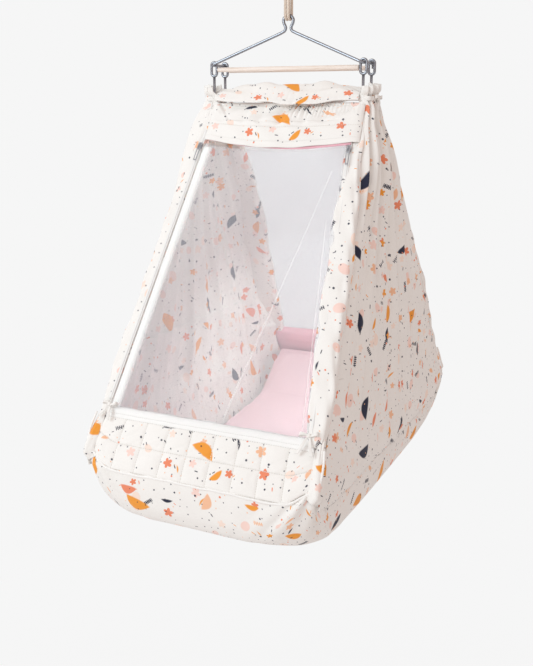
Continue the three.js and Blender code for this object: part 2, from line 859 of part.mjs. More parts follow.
// The pull lies on the zip below its slider, with its bar in the bail.
function zipPull(side) {
  const half = pullWidth / 2;
  const inner = half - pullArm;
  const outline = new THREE.Shape([
    new THREE.Vector2(-half, -pullBar / 2),
    new THREE.Vector2(half, -pullBar / 2),
    new THREE.Vector2(half, pullLength),
    new THREE.Vector2(-half, pullLength),
  ]);
  const hole = new THREE.Path([
    new THREE.Vector2(-inner, pullBar / 2),
    new THREE.Vector2(-inner, pullSlot),
    new THREE.Vector2(inner, pullSlot),
    new THREE.Vector2(inner, pullBar / 2),
  ]);
  outline.holes.push(hole);
  const geometry = new THREE.ExtrudeGeometry(outline, { depth: pullThickness, bevelEnabled: false });
  geometry.translate(0, 0, sliderBase + sliderHeight + (bailSlotHeight - pullThickness) / 2);
  geometry.applyMatrix4(endFrame(-1, side, zipInset(side), sliderRest, doorLayer));
  return geometry;
}

// Valance, linings and roof

function valance(end, layer, thickness, drop) {
  const surface = (u, v) => {
    const across = end * blend(valanceHalfWidth, -valanceHalfWidth, u);
    const hem = valanceHem - drop + valanceHemRise * (2 * u - 1) ** 2;
    const along = blend(hem, valanceTop, v);
    const bulge = valanceBulge * Math.sin(Math.PI * u) * Math.sin(Math.PI * v) ** 2;
    const slack = Math.sin(Math.PI * u) * Math.sin(Math.PI * v);
    const folds = valanceFold * Math.sin(2 * Math.PI * valanceFolds * u) * slack;
    return endPoint(end, across, along, layer + bulge + folds);
  };
  return sheet(valanceFolds * columnsPerFold, valanceRows, surface, even(thickness));
}

function roof() {
  const surface = (u, v) => {
    const turn = Math.PI * v;
    const crown = roofRise * (1 - roofFlatShare * (2 * u - 1) ** 4);
    const ripple = roofRipple * Math.sin(2 * Math.PI * roofRipples * v + Math.PI * u) * Math.sin(turn);
    const x = blend(-valanceHalfWidth, valanceHalfWidth, u);
    return new THREE.Vector3(x, -roofSpread * Math.cos(turn), roofSeam + crown * Math.sin(turn) + ripple);
  };
  return sheet(roofColumns, roofRows, surface, even(roofThickness));
}

// Side panels

// The height of the seam between a side panel and the floor.
function seamHeight(y) {
  const share = smooth((Math.abs(y) - panelSeamBend) / (floorHalfLength - panelSeamBend));
  return blend(panelSeam, panelSeamEnd, share);
}

// The share of a side panel's height, with v from 0 at the top row to 1 at the bottom row.
function panelRowShare(v) {
  const last = panelRowShares.length - 1;
  const row = Math.min(Math.floor(v * last), last - 1);
  return blend(panelRowShares[row], panelRowShares[row + 1], v * last - row);
}

// Half the distance between a side panel's front and rear edges at a height.
function panelHalfSpan(height) {
  const rise = Math.min(Math.max(legBendHeight - height, 0), legBendHeight);
  return Math.max(legSpacing / 2 + (legRun * rise) / legBendHeight - panelEdge, panelTopHalfSpan);
}

// Pleats run out towards the seam under the side rail.
const pleatFade = (height) => blend(1, pleatFootShare, smooth(1 - Math.max(height, 0) / panelBulgeHeight));

function sidePanel(side) {
  const surface = (u, v) => {
    const row = panelRowShare(v);
    const half = panelHalfSpan(blend(panelTop, panelSeam, row));
    const y = side * blend(half, -half, u);
    const height = blend(panelTop, seamHeight(y), row);
    const across = Math.sin(Math.PI * u);
    const high = Math.max(height, 0);
    const bulgeShare = Math.sin((Math.PI / 2) * Math.min(high / panelBulgeHeight, 1)) ** 2;
    const closing = 1 - smooth((high - panelBulgeHeight) / (panelTop - panelBulgeHeight));
    const edge = height > 0 ? blend(panelOffset, panelTopOffset, smooth(high / panelTop)) : 0;
    const low = blend(panelOffset, panelBottomOffset, smooth(height / panelSeam));
    const pleatWidth = (2 * half) / panelPleats;
    const depth = Math.min(panelPleatDepth, pleatDepthShare * pleatWidth) * pleatFade(height);
    const pleat = depth * Math.sin(2 * Math.PI * panelPleats * u) * Math.min(1, across * panelPleats);
    const base = topWidth / 2 + ((cradleWidth - topWidth) / 2) * Math.max(0, 1 - high / legBendHeight);
    const bulge = panelBulge * bulgeShare * closing * across ** panelBulgePower;
    const offset = (height > 0 ? edge : low) + bulge + pleat;
    return new THREE.Vector3(side * (base + offset), y, height);
  };
  return sheet(panelPleats * columnsPerPleat, panelRowShares.length - 1, surface, even(panelThickness));
}

// Tub

function bumper(end) {
  const surface = (u, v) => {
    const along = blend(bumperBottom, bumperTop, v);
    const half = legHalfWidth(along) - bumperEndGap;
    const across = end * blend(half, -half, u);
    return endPoint(end, across, along, bumperLift * Math.sin(Math.PI * v));
  };
  const thickness = (u, v) => {
    const cell = Math.abs(Math.sin(Math.PI * bumperCells * u));
    const tier = Math.abs(Math.sin(Math.PI * bumperTiers * v));
    return bumperSeam + (bumperPad - bumperSeam) * Math.sqrt(cell * tier);
  };
  return sheet(bumperCells * bumperSteps, bumperTiers * bumperSteps, surface, thickness);
}

function bumperLining(end) {
  const surface = (u, v) => {
    const along = blend(bumperBottom + bumperSeam, bumperTop, v);
    const half = legHalfWidth(along) - bumperEndGap;
    return endPoint(end, end * blend(half, -half, u), along, bumperLiningLayer);
  };
  return sheet(bumperLiningColumns, bumperLiningRows, surface, even(liningThickness));
}

function rimBinding(end) {
  const surface = (u, v) => {
    const along = blend(bumperTop + bindingGap, bindingTop, v);
    const half = legHalfWidth(along) - bindingEndGap;
    return endPoint(end, end * blend(half, -half, u), along, 0);
  };
  const thickness = (u, v) => bindingThickness * (1 - bindingRoundShare * (2 * v - 1) ** 4);
  return sheet(bindingColumns, bindingRows, surface, thickness);
}

// A cord sewn into the seam round an end of the tub: down one corner, along the bottom and up the other.
function seamPiping(end) {
  const place = (side, along, layer) => {
    return endPoint(end, side * (legHalfWidth(along) + pipingOutset), along, layer);
  };
  const points = [
    place(-1, pipingTop, pipingLayer),
    place(-1, -pipingSag, pipingBottomLayer),
    place(1, -pipingSag, pipingBottomLayer),
    place(1, pipingTop, pipingLayer),
  ];
  return tube(bent(points, pipingBend), piping, rodSides - 2);
}

// The floor's outline seen from above, as a rounded rectangle.
function floorOutline(corner, inset) {
  const flatX = floorHalfWidth - corner;
  const flatY = floorHalfLength - corner;
  const radius = corner - inset;
  const corners = [
    [1, 1],
    [-1, 1],
    [-1, -1],
    [1, -1],
  ];
  const arcs = corners.map(([signX, signY], quarter) => {
    const points = [];
    for (let i = 0; i <= floorCornerSteps; i++) {
      const turn = (Math.PI / 2) * (quarter + i / floorCornerSteps);
      const x = signX * flatX + radius * Math.cos(turn);
      const y = signY * flatY + radius * Math.sin(turn);
      points.push(new THREE.Vector2(x, y));
    }
    return points;
  });
  return arcs.flatMap((arc, quarter) => {
    const next = arcs[(quarter + 1) % arcs.length][0];
    const steps = quarter % 2 === 0 ? floorEndSteps : floorSideSteps;
    const straight = [];
    for (let i = 1; i < steps; i++) straight.push(arc[arc.length - 1].clone().lerp(next, i / steps));
    return [...arc, ...straight];
  });
}

const floorBottom = (y) => -floorDepth * fromShares(floorDepthShares, y / floorHalfLength);

// The floor hangs between the seams as a shallow tub of one cloth, deepest near the middle.
function tubFloor() {
  const ring = ([plan, depth], inset) => {
    const corner = blend(floorCorner, floorLowCorner, depth);
    return floorOutline(corner, inset).map((point) => {
      const y = point.y * plan;
      const rim = seamHeight(point.y) - floorSeamGap;
      return new THREE.Vector3(point.x * plan, y, blend(rim, floorBottom(y) + inset, depth));
    });
  };
  const outer = floorSectionShares.map((shares) => ring(shares, 0)).reverse();
  const inner = floorSectionShares.map((shares) => ring(shares, floorThickness));
  const under = [new THREE.Vector3(0, 0, floorBottom(0))];
  const over = [new THREE.Vector3(0, 0, floorBottom(0) + floorThickness)];
  return loft([under, ...outer, ...inner, over], false);
}

function mattress() {
  const thickness = (u, v) => {
    const crown = (1 - (2 * u - 1) ** mattressSidePower) * (1 - (2 * v - 1) ** mattressEndPower);
    return blend(mattressEdge, mattressThickness, crown);
  };
  const surface = (u, v) => {
    const y = blend(mattressFront, mattressRear, v);
    const rise = mattressRise * Math.max(0, (y - mattressKink) / (mattressRear - mattressKink));
    const seat = floorBottom(y) + floorThickness + mattressSeatGap;
    const half = mattressHalfWidth * (1 - mattressCornerTuck * (2 * v - 1) ** mattressCornerPower);
    return new THREE.Vector3(blend(-half, half, u), y, seat + mattressThickness / 2 + rise);
  };
  return sheet(mattressColumns, mattressRows, surface, thickness);
}

// Ties

function roundedRectangle(shape, left, right, low, high, radius) {
  shape.moveTo(left + radius, low);
  shape.lineTo(right - radius, low);
  shape.absarc(right - radius, low + radius, radius, -Math.PI / 2, 0);
  shape.lineTo(right, high - radius);
  shape.absarc(right - radius, high - radius, radius, 0, Math.PI / 2);
  shape.lineTo(left + radius, high);
  shape.absarc(left + radius, high - radius, radius, Math.PI / 2, Math.PI);
  shape.lineTo(left, low + radius);
  shape.absarc(left + radius, low + radius, radius, Math.PI, (3 * Math.PI) / 2);
  return shape;
}

// A bow with X along its loops, Y up and Z outwards, centred on its knot.
function bow() {
  const knot = new THREE.SphereGeometry(bowKnot, rodSides, strandSides);
  const pieces = [knot];
  for (const side of sides) {
    const loop = new THREE.TorusGeometry(bowLoop, bowStrand, strandSides, bowSegments);
    loop.scale(1, bowLoopShare, 1);
    loop.translate(side.sign * bowLoopSpread, 0, 0);
    const tail = new THREE.BoxGeometry(bowTailWidth, bowTail, bowTailThickness);
    tail.translate(0, -bowTail / 2, 0);
    tail.rotateX(-bowTailLean);
    tail.rotateZ(side.sign * bowTailTurn);
    pieces.push(loop, tail);
  }
  return join(...pieces);
}

// The band that gathers a side panel's top round the two upright legs.
function topTie(side) {
  const wall = tieThickness;
  const outline = new THREE.Shape();
  const span = topTieHalfSpan;
  const outer = topTieRound + wall;
  roundedRectangle(outline, topTieInner - wall, topTieOuter + wall, -span - wall, span + wall, outer);
  const opening = roundedRectangle(new THREE.Path(), topTieInner, topTieOuter, -span, span, topTieRound);
  outline.holes.push(opening);
  const settings = { depth: tieWidth, bevelEnabled: false, curveSegments: bendSteps };
  const band = new THREE.ExtrudeGeometry(outline, settings);
  band.translate(0, 0, topTieHeight);
  const knot = bow();
  knot.rotateX(Math.PI / 2);
  knot.rotateZ(Math.PI / 2);
  knot.translate(topTieOuter + wall + bowKnot / 2, 0, topTieHeight + tieWidth / 2);
  const geometry = join(band, knot);
  if (side < 0) geometry.rotateZ(Math.PI);
  return geometry;
}

// The bow that closes the cover round a leg just under the rim of the tub.
function rimTie(end, side) {
  const radius = rimTieBore / 2 + tieThickness;
  const band = new THREE.CylinderGeometry(radius, radius, tieWidth, arcSides / 2);
  const boreLength = tieWidth + 2 * overrun;
  const bore = new THREE.CylinderGeometry(rimTieBore / 2, rimTieBore / 2, boreLength, arcSides / 2);
  const knot = bow();
  knot.rotateZ(Math.PI);
  knot.translate(0, 0, radius + bowKnot / 2);
  const geometry = cut(join(band, knot), bore);
  geometry.applyMatrix4(endFrame(end, side, 0, rimTieHeight, 0));
  return geometry;
}

// Assembly

const hanging = new THREE.Group();
hanging.position.set(0, -hangingOffset, 0);

function addHanging(name, geometry, material) {
  hanging.add(add(name, geometry, material));
}

add("ceiling_plate", ceilingPlate(), finishes.steel);
add("swivel_eye", swivelEye(), finishes.steel);
const winding = ropeStations();
add("rope_loop", tube(winding, rope, rodSides - 2), finishes.rope);
add("rope_knot", ropeKnot(), finishes.rope);
console.log("least gap of the rope to itself: " + leastRopeGap(winding).toFixed(2) + " mm");

addHanging("hanger", tube(hangerStations(), hangerRod), finishes.chrome);
addHanging("roof", roof(), finishes.print);
addHanging("tub_floor", tubFloor(), finishes.print);
addHanging("mattress", mattress(), finishes.pink);
addHanging("net_door", netDoor(), finishes.net);
addHanging("rear_net", rearNet(), finishes.net);

for (const { name, sign } of sides) {
  addHanging(name + "_side_frame", sideFrame(sign), finishes.chrome);
  addHanging(name + "_side_panel", sidePanel(sign), finishes.print);
  addHanging(name + "_top_tie", topTie(sign), finishes.print);
  addHanging(name + "_zip", zip(sign), finishes.white);
  addHanging(name + "_zip_slider", zipSlider(sign), finishes.steel);
  addHanging(name + "_zip_pull", zipPull(sign), finishes.steel);
}

for (const { name, sign } of ends) {
  addHanging(name + "_dowel", dowel(sign), finishes.wood);
  addHanging(name + "_end_rail", endRail(sign), finishes.chrome);
  addHanging(name + "_valance", valance(sign, valanceLayer, valanceThickness, 0), finishes.print);
  const lining = valance(sign, liningLayer, liningThickness, liningDrop);
  addHanging(name + "_valance_lining", lining, finishes.pink);
  addHanging(name + "_bumper", bumper(sign), finishes.print);
  addHanging(name + "_bumper_lining", bumperLining(sign), finishes.pink);
  addHanging(name + "_rim_binding", rimBinding(sign), finishes.white);
  addHanging(name + "_piping", seamPiping(sign), finishes.white);
}

const frontShift = { left: leftSleeveShift, right: rightSleeveShift };
for (const end of ends) {
  for (const side of sides) {
    const front = end.sign < 0;
    const shift = front ? frontShift[side.name] : rearSleeveShift;
    const fullness = front ? frontSleeveFullness : rearSleeveFullness;
    const corner = end.name + "_" + side.name;
    addHanging(corner + "_sleeve", sleeve(end.sign, side.sign, shift, fullness), finishes.print);
    addHanging(corner + "_rim_tie", rimTie(end.sign, side.sign), finishes.print);
  }
}

// The origin is on the ceiling plate's upper face, over the rope seat.
cradle.add(hanging);
cradle.position.set(0, 0, -plateTop);

export default cradle;
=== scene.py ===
"""Dresses a hanging baby cradle: cloth tent with a net door, soft tub, rod frames, hanger, rope and ceiling eye.

Lengths in the classes are millimetres in the cradle's own layout (zero at the side rails' height and at the
middle of the cradle), and `Layout.row` turns them into metres in the CAD's frame.
"""

import json
import logging
import math
from dataclasses import dataclass
from enum import Enum
from typing import Callable, Iterable, Optional, Sequence

import bpy
import numpy as np
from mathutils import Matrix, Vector

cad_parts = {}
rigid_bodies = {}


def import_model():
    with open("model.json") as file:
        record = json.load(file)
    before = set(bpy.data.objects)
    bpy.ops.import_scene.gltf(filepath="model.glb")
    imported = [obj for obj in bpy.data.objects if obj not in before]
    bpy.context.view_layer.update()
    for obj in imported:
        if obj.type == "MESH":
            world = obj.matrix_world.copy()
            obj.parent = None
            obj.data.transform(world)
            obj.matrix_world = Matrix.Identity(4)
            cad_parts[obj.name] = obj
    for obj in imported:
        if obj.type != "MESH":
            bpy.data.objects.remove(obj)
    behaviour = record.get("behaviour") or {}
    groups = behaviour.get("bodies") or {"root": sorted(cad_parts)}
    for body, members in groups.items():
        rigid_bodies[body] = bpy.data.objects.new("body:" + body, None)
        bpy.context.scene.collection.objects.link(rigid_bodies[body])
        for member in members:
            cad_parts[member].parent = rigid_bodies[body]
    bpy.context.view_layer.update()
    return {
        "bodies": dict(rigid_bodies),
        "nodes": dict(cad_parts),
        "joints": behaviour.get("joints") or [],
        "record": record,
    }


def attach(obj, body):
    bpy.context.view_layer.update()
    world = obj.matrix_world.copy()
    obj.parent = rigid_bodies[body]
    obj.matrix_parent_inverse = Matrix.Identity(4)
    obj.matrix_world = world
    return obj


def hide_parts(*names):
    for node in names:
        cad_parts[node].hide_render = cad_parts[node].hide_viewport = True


log = logging.getLogger("cradle")

Array = np.ndarray
MM = 0.001
CLOTH_MAP = "cloth"
SEAM_MAP = "seams"
PALE_GREY = "F6F6F6"


class End(Enum):
    """An end of the cradle: the net door is in the front one."""

    FRONT = -1
    REAR = 1

    @property
    def label(self) -> str:
        """The end's part of a node's name."""
        return self.name.lower()


class Side(Enum):
    """A side of the cradle, seen from the net door."""

    LEFT = -1
    RIGHT = 1

    @property
    def label(self) -> str:
        """The side's part of a node's name."""
        return self.name.lower()


# Small maths


def smooth(share: Array) -> Array:
    """An S-shaped ramp from 0 to 1."""
    held = np.clip(share, 0.0, 1.0)
    return held * held * (3 - 2 * held)


def wave(turns: Array) -> Array:
    """A sine wave, by how many turns it has made."""
    return np.sin(2 * math.pi * turns)


def arch(share: Array) -> Array:
    """Half a sine wave: 0 at a share of 0 and of 1, and 1 between them."""
    return np.sin(math.pi * share)


def mound(value: Array, middle: float, width: float) -> Array:
    """A rounded bump: 1 at the middle, and nearly 0 beyond two widths from it."""
    return np.exp(-(((value - middle) / width) ** 2))


def fade(distance: Array, reach: float) -> Array:
    """What is left of 1 at a distance: about a third at the reach, and a seventh at twice the reach."""
    return np.exp(-distance / reach)


def from_edge(share: Array) -> Array:
    """Distance of a share from the nearer of 0 and 1."""
    return np.minimum(share, 1 - share)


def squared_off(value: Array, power: float) -> Array:
    """A sine or cosine pushed towards 1 and -1, which makes a circle squarer."""
    return np.sign(value) * np.abs(value) ** power


def circle(count: int) -> Array:
    """Angles evenly round a circle."""
    return np.linspace(0, 2 * math.pi, count, endpoint=False)


def stack(*parts: Array) -> Array:
    """Points from their coordinates, which may also be single numbers."""
    return np.stack(np.broadcast_arrays(*parts), -1)


def lengths(path: Array) -> Array:
    """The length along a path at each of its points."""
    return np.concatenate([[0.0], np.cumsum(np.linalg.norm(np.diff(path, axis=0), axis=1))])


def rounded_corner(start: Array, corner: Array, stop: Array, steps: int) -> list[Array]:
    """Points of a curve from start to stop that bends inside a corner."""
    shares = np.linspace(0, 1, steps + 1)
    return [(1 - t) ** 2 * start + 2 * t * (1 - t) * corner + t**2 * stop for t in shares]


def blend(start: Array, stop: Array, share: Array) -> Array:
    """The value at a share of the way from start to stop."""
    return start + (stop - start) * share


def waves(place: Array, *parts: Sequence[float]) -> Array:
    """A sum of sine waves.

    Args:
        place: Where the waves are read.
        parts: Frequency, phase and height of each wave.

    Returns:
        The height of the sum at each place.
    """
    total = np.zeros_like(place, dtype=float)
    for frequency, phase, height in parts:
        total = total + height * np.sin(2 * math.pi * frequency * place + phase)
    return total


def uneven_folds(share: Array, count: float, phase: float) -> Array:
    """Folds of cloth across a width, of uneven breadth and height, from about -1 to 1.

    Args:
        share: Place across the width, from 0 to 1.
        count: How many folds there are.
        phase: Shift that makes one row of folds differ from another.

    Returns:
        The height of the cloth.
    """
    bent = share + waves(share, (2.3, phase, 0.011), (5.1, 1.7 + phase, 0.006))
    main = np.sin(2 * math.pi * count * bent + phase)
    crisp = 0.22 * np.sin(4 * math.pi * count * bent + 0.7 + 2 * phase)
    return (main + crisp) * (1 + waves(share, (1.7, phase + 0.8, 0.28), (3.9, phase, 0.14)))


@dataclass(frozen=True)
class Layout:
    """Places on the cradle, from its driving sizes in millimetres."""

    length: float = 760.0
    width: float = 423.0
    top_width: float = 298.0
    leg_spacing: float = 43.0
    bar_height: float = 671.0
    leg_bend: float = 595.0
    hang_shift: float = 12.0
    ceiling: float = 1022.0
    tub_half_length: float = 386.5

    @property
    def leg_run(self) -> float:
        """How far a leg reaches along the cradle below its bend."""
        return (self.length - self.leg_spacing) / 2

    @property
    def slope(self) -> float:
        """Length of a leg's sloping stretch."""
        return math.hypot(self.leg_run, self.leg_bend)

    @property
    def rise(self) -> float:
        """How much a leg rises per millimetre of its sloping stretch."""
        return self.leg_bend / self.slope

    def row(self, points: Array) -> Array:
        """Points of the layout in metres in the CAD's frame."""
        return (np.asarray(points, float) + (0.0, self.hang_shift, -self.ceiling)) * MM

    def leg_half(self, along: Array) -> Array:
        """Half the distance between an end's legs, at a distance along them from the bottom corners."""
        return self.width / 2 - (self.width - self.top_width) / 2 * along / self.slope

    def on_end(self, end: End, across: Array, along: Array, out: Array) -> Array:
        """Points of an end.

        Args:
            end: Which end.
            across: Distance to the right of the middle.
            along: Distance up the slope from the bottom corners.
            out: Distance outwards from the plane of the legs.

        Returns:
            Points of the layout in millimetres.
        """
        across, along, out = np.broadcast_arrays(across, along, out)
        run = self.leg_run / self.slope
        y = self.length / 2 - run * along + self.rise * out
        return stack(across, end.value * y, self.rise * along + run * out)

    def end_row(self, end: End, across: Array, along: Array, out: Array) -> Array:
        """Points of an end in metres in the CAD's frame, from what `on_end` takes."""
        return self.row(self.on_end(end, across, along, out))

    def leg_point(self, side: Side, end: End, height: float) -> Array:
        """The centre of a leg at a height, in the layout."""
        share = max(0.0, (self.leg_bend - height) / self.leg_bend)
        x = self.top_width / 2 + (self.width - self.top_width) / 2 * share
        return np.array([side.value * x, end.value * (self.leg_spacing / 2 + self.leg_run * share), height])


PLAN = Layout()

# How deep the tub's floor and the mattress lie at places along the tub, as shares of the tub's depth.
FLOOR_PLACES = np.array([-1, -0.8, -0.35, 0.1, 0.5, 0.75, 1]) * PLAN.tub_half_length
FLOOR_DEPTHS = (1.0, 1.01, 1, 0.98, 0.9, 0.74, 0.45)
SEAT_DEPTHS = (0.96, 0.98, 1, 0.98, 0.9, 0.77, 0.56)


# Meshes


def coordinates(mesh: bpy.types.Mesh) -> Array:
    """The places of a mesh's vertices."""
    place = np.empty(len(mesh.vertices) * 3)
    mesh.vertices.foreach_get("co", place)
    return place.reshape(-1, 3)


def corner_vertices(mesh: bpy.types.Mesh) -> Array:
    """The vertex number of each corner of a mesh's faces."""
    numbers = np.empty(len(mesh.loops), dtype=np.int64)
    mesh.loops.foreach_get("vertex_index", numbers)
    return numbers


def mesh_object(
    name: str,
    points: Array,
    faces: Sequence[Sequence[int]],
    flat: Optional[Array] = None,
    seams: Optional[Array] = None,
) -> bpy.types.Object:
    """A smooth mesh object.

    Args:
        name: The piece's name.
        points: Vertices in metres in the CAD's frame.
        faces: Vertex numbers of each face.
        flat: The cloth's flat coordinates of each vertex, in metres.
        seams: Coordinates of each vertex whose whole numbers are lines of stitching.

    Returns:
        The object, linked to the scene.
    """
    mesh = bpy.data.meshes.new(name)
    mesh.from_pydata([tuple(p) for p in points], [], [tuple(f) for f in faces])
    corners = corner_vertices(mesh)
    for layer, values in ((CLOTH_MAP, flat), (SEAM_MAP, seams)):
        if values is not None:
            uv = mesh.uv_layers.new(name=layer)
            uv.data.foreach_set("uv", np.asarray(values, np.float32)[corners].ravel())
    mesh.polygons.foreach_set("use_smooth", [True] * len(mesh.polygons))
    mesh.update()
    made = bpy.data.objects.new(name, mesh)
    bpy.context.scene.collection.objects.link(made)
    return made


def grid_normals(points: Array, round_columns: bool = False) -> Array:
    """Unit normals of a grid of points, from its columns' direction to its rows' direction."""
    if round_columns:
        along = np.roll(points, -1, 1) - np.roll(points, 1, 1)
    else:
        along = np.gradient(points, axis=1)
    normal = np.cross(along, np.gradient(points, axis=0))
    return normal / np.maximum(np.linalg.norm(normal, axis=-1, keepdims=True), 1e-9)


def flat_lengths(points: Array) -> Array:
    """Flat coordinates of a grid: lengths along its middle row and its middle column, centred across."""
    rows, columns = points.shape[:2]
    across = np.linalg.norm(np.diff(points, axis=1), axis=-1)
    u = np.concatenate([np.zeros((rows, 1)), np.cumsum(across, 1)], 1)
    u -= u[:, columns // 2][:, None]
    v = lengths(points[:, columns // 2])
    return np.stack([u, np.repeat(v[:, None], columns, 1)], -1)


@dataclass
class Cloth:
    """A closed thin shell over a grid of points.

    The grid has rows of points, in metres. `thickness` may differ from point to point, and `round_columns`
    joins the last column to the first.
    """

    name: str
    points: Array
    thickness: float | Array = 1.0 * MM
    flat: Optional[Array] = None
    seams: Optional[Array] = None
    round_columns: bool = False

    def build(self) -> bpy.types.Object:
        """The shell as an object, with the grid in its middle."""
        rows, columns = self.points.shape[:2]
        normal = grid_normals(self.points, self.round_columns)
        half = np.broadcast_to(np.asarray(self.thickness) / 2, (rows, columns))[..., None]
        skins = np.concatenate([(self.points + offset).reshape(-1, 3) for offset in (normal * half, -normal * half)])
        number = np.arange(rows * columns).reshape(rows, columns)
        if self.round_columns:
            number = np.concatenate([number, number[:, :1]], 1)
        a, b, c, d = number[:-1, :-1], number[:-1, 1:], number[1:, 1:], number[1:, :-1]
        back = rows * columns
        front = stack(a, b, c, d).reshape(-1, 4)
        rims = [(number[0, :-1], number[0, 1:]), (number[-1, 1:], number[-1, :-1])]
        if not self.round_columns:
            rims += [(number[:-1, -1], number[1:, -1]), (number[1:, 0], number[:-1, 0])]
        edges = [stack(q, p, p + back, q + back) for p, q in rims]
        faces = np.concatenate([front, front[:, ::-1] + back, *edges])
        flat = flat_lengths(self.points) if self.flat is None else self.flat
        twice = np.concatenate([flat.reshape(-1, 2)] * 2)
        seams = None if self.seams is None else np.concatenate([self.seams.reshape(-1, 2)] * 2)
        return mesh_object(self.name, skins, faces.tolist(), twice, seams)


def grid(columns: int, rows: int) -> tuple[Array, Array]:
    """Shares across and down a grid, each from 0 to 1."""
    return np.meshgrid(np.linspace(0, 1, columns + 1), np.linspace(0, 1, rows + 1))


def frames_along(path: Array) -> tuple[Array, Array]:
    """Two unit directions across a path at each of its points, without twist."""
    ahead = np.gradient(path, axis=0)
    ahead /= np.linalg.norm(ahead, axis=1, keepdims=True)
    guess = np.array([0.0, 0.0, 1.0]) if abs(ahead[0][2]) < 0.9 else np.array([1.0, 0.0, 0.0])
    first = np.cross(ahead[0], guess)
    sides = [first / np.linalg.norm(first)]
    for direction in ahead[1:]:
        kept = sides[-1] - direction * np.dot(sides[-1], direction)
        sides.append(kept / np.linalg.norm(kept))
    across = np.array(sides)
    return across, np.cross(ahead, across)


def tube_object(
    name: str, path: Array, radius: float | Callable[[Array, Array], Array], segments: int = 16, closed: bool = False
) -> bpy.types.Object:
    """A tube round a path.

    Args:
        name: The piece's name.
        path: Points of the centre line in metres.
        radius: The tube's radius, or a function of the share round it and the length along it.
        segments: Sides of the tube.
        closed: Whether the path is a loop.

    Returns:
        The tube with rounded flat ends, or a ring.
    """
    across, up = frames_along(path)
    if closed:
        around_path = np.roll(path, -1, 0) - np.roll(path, 1, 0)
        around_path /= np.linalg.norm(around_path, axis=1, keepdims=True)
        centre = path.mean(0)
        across = path - centre
        across -= around_path * (across * around_path).sum(1, keepdims=True)
        across /= np.linalg.norm(across, axis=1, keepdims=True)
        up = np.cross(around_path, across)
    reached = lengths(path)
    turn = circle(segments)
    share, length = np.meshgrid(turn / (2 * math.pi), reached)
    size = radius(share, length) if callable(radius) else np.full_like(share, radius)
    ring = np.cos(turn)[None, :, None] * across[:, None] + np.sin(turn)[None, :, None] * up[:, None]
    points = (path[:, None] + ring * size[..., None]).reshape(-1, 3)
    count = len(path)
    number = np.arange(count * segments).reshape(count, segments)
    wrapped = np.concatenate([number, number[:, :1]], 1)
    if closed:
        wrapped = np.concatenate([wrapped, wrapped[:1]])
    quads = np.stack([wrapped[:-1, :-1], wrapped[:-1, 1:], wrapped[1:, 1:], wrapped[1:, :-1]], -1).reshape(-1, 4)
    faces = quads.tolist()
    if not closed:
        faces += [number[0, ::-1].tolist(), number[-1].tolist()]
    flat = stack(share * 2 * math.pi * np.mean(size), length).reshape(-1, 2)
    return mesh_object(name, points, faces, flat)


def bent_path(corners: Sequence[Array], radius: float, steps: int = 8) -> Array:
    """A path with rounded corners.

    Args:
        corners: The path's ends and its corners.
        radius: Radius of the bends.
        steps: Stretches in a bend.

    Returns:
        Points along the path.
    """
    points = [np.asarray(corners[0], float)]
    for before, here, after in zip(corners, corners[1:], corners[2:]):
        arriving, leaving = here - before, after - here
        arriving, leaving = arriving / np.linalg.norm(arriving), leaving / np.linalg.norm(leaving)
        angle = math.acos(float(np.clip(arriving @ leaving, -1, 1)))
        reach = radius * math.tan(angle / 2)
        start, stop = here - arriving * reach, here + leaving * reach
        points += rounded_corner(start, here, stop, steps)
    points.append(np.asarray(corners[-1], float))
    return np.array(points)


def joined(name: str, parts: Iterable[bpy.types.Object]) -> bpy.types.Object:
    """One object made of several meshes, keeping their flat coordinates."""
    parts = list(parts)
    points, faces, flat, start = [], [], [], 0
    for part in parts:
        mesh = part.data
        count = len(mesh.vertices)
        points.append(coordinates(mesh))
        uv = np.empty(len(mesh.loops) * 2)
        mesh.uv_layers[CLOTH_MAP].data.foreach_get("uv", uv)
        own = np.zeros((count, 2))
        own[corner_vertices(mesh)] = uv.reshape(-1, 2)
        flat.append(own)
        faces += [[start + i for i in polygon.vertices] for polygon in mesh.polygons]
        start += count
        bpy.data.objects.remove(part)
    return mesh_object(name, np.concatenate(points), faces, np.concatenate(flat))


# Shader building


def math_node(operation: str, swapped: bool = False) -> Callable[..., "Socket"]:
    """A method of `Socket` that works something out with a Math node.

    Args:
        operation: The node's operation.
        swapped: Whether the socket comes after the other value.

    Returns:
        The method.
    """

    def method(self: "Socket", *others: "Socket | float") -> "Socket":
        return self.shader.math(operation, *((*others, self) if swapped else (self, *others)))

    return method


class Socket:
    """A socket that takes part in sums, so that shader maths reads as an expression."""

    __add__ = __radd__ = math_node("ADD")
    __sub__, __rsub__ = math_node("SUBTRACT"), math_node("SUBTRACT", swapped=True)
    __mul__ = __rmul__ = math_node("MULTIPLY")
    __truediv__, __rtruediv__ = math_node("DIVIDE"), math_node("DIVIDE", swapped=True)
    __pow__ = math_node("POWER")
    __abs__ = math_node("ABSOLUTE")
    least, most = math_node("MINIMUM"), math_node("MAXIMUM")
    sine, cosine, fraction = math_node("SINE"), math_node("COSINE"), math_node("FRACT")

    def __init__(self, shader: "Shader", socket: bpy.types.NodeSocket) -> None:
        """Wraps a node's output socket of the given shader."""
        self.shader = shader
        self.socket = socket

    def ramp(self, start: float, stop: float, low: float = 0.0, high: float = 1.0) -> "Socket":
        """A smooth ramp of this value.

        Args:
            start: The value where the ramp starts.
            stop: The value where it ends.
            low: What it gives at the start.
            high: What it gives at the end.

        Returns:
            The ramp's value.
        """
        if start > stop:
            start, stop, low, high = stop, start, high, low
        node = self.shader.node(
            "ShaderNodeMapRange",
            {"interpolation_type": "SMOOTHSTEP"},
            {"Value": self, "From Min": start, "From Max": stop, "To Min": low, "To Max": high},
        )
        return self.shader.out(node, "Result")


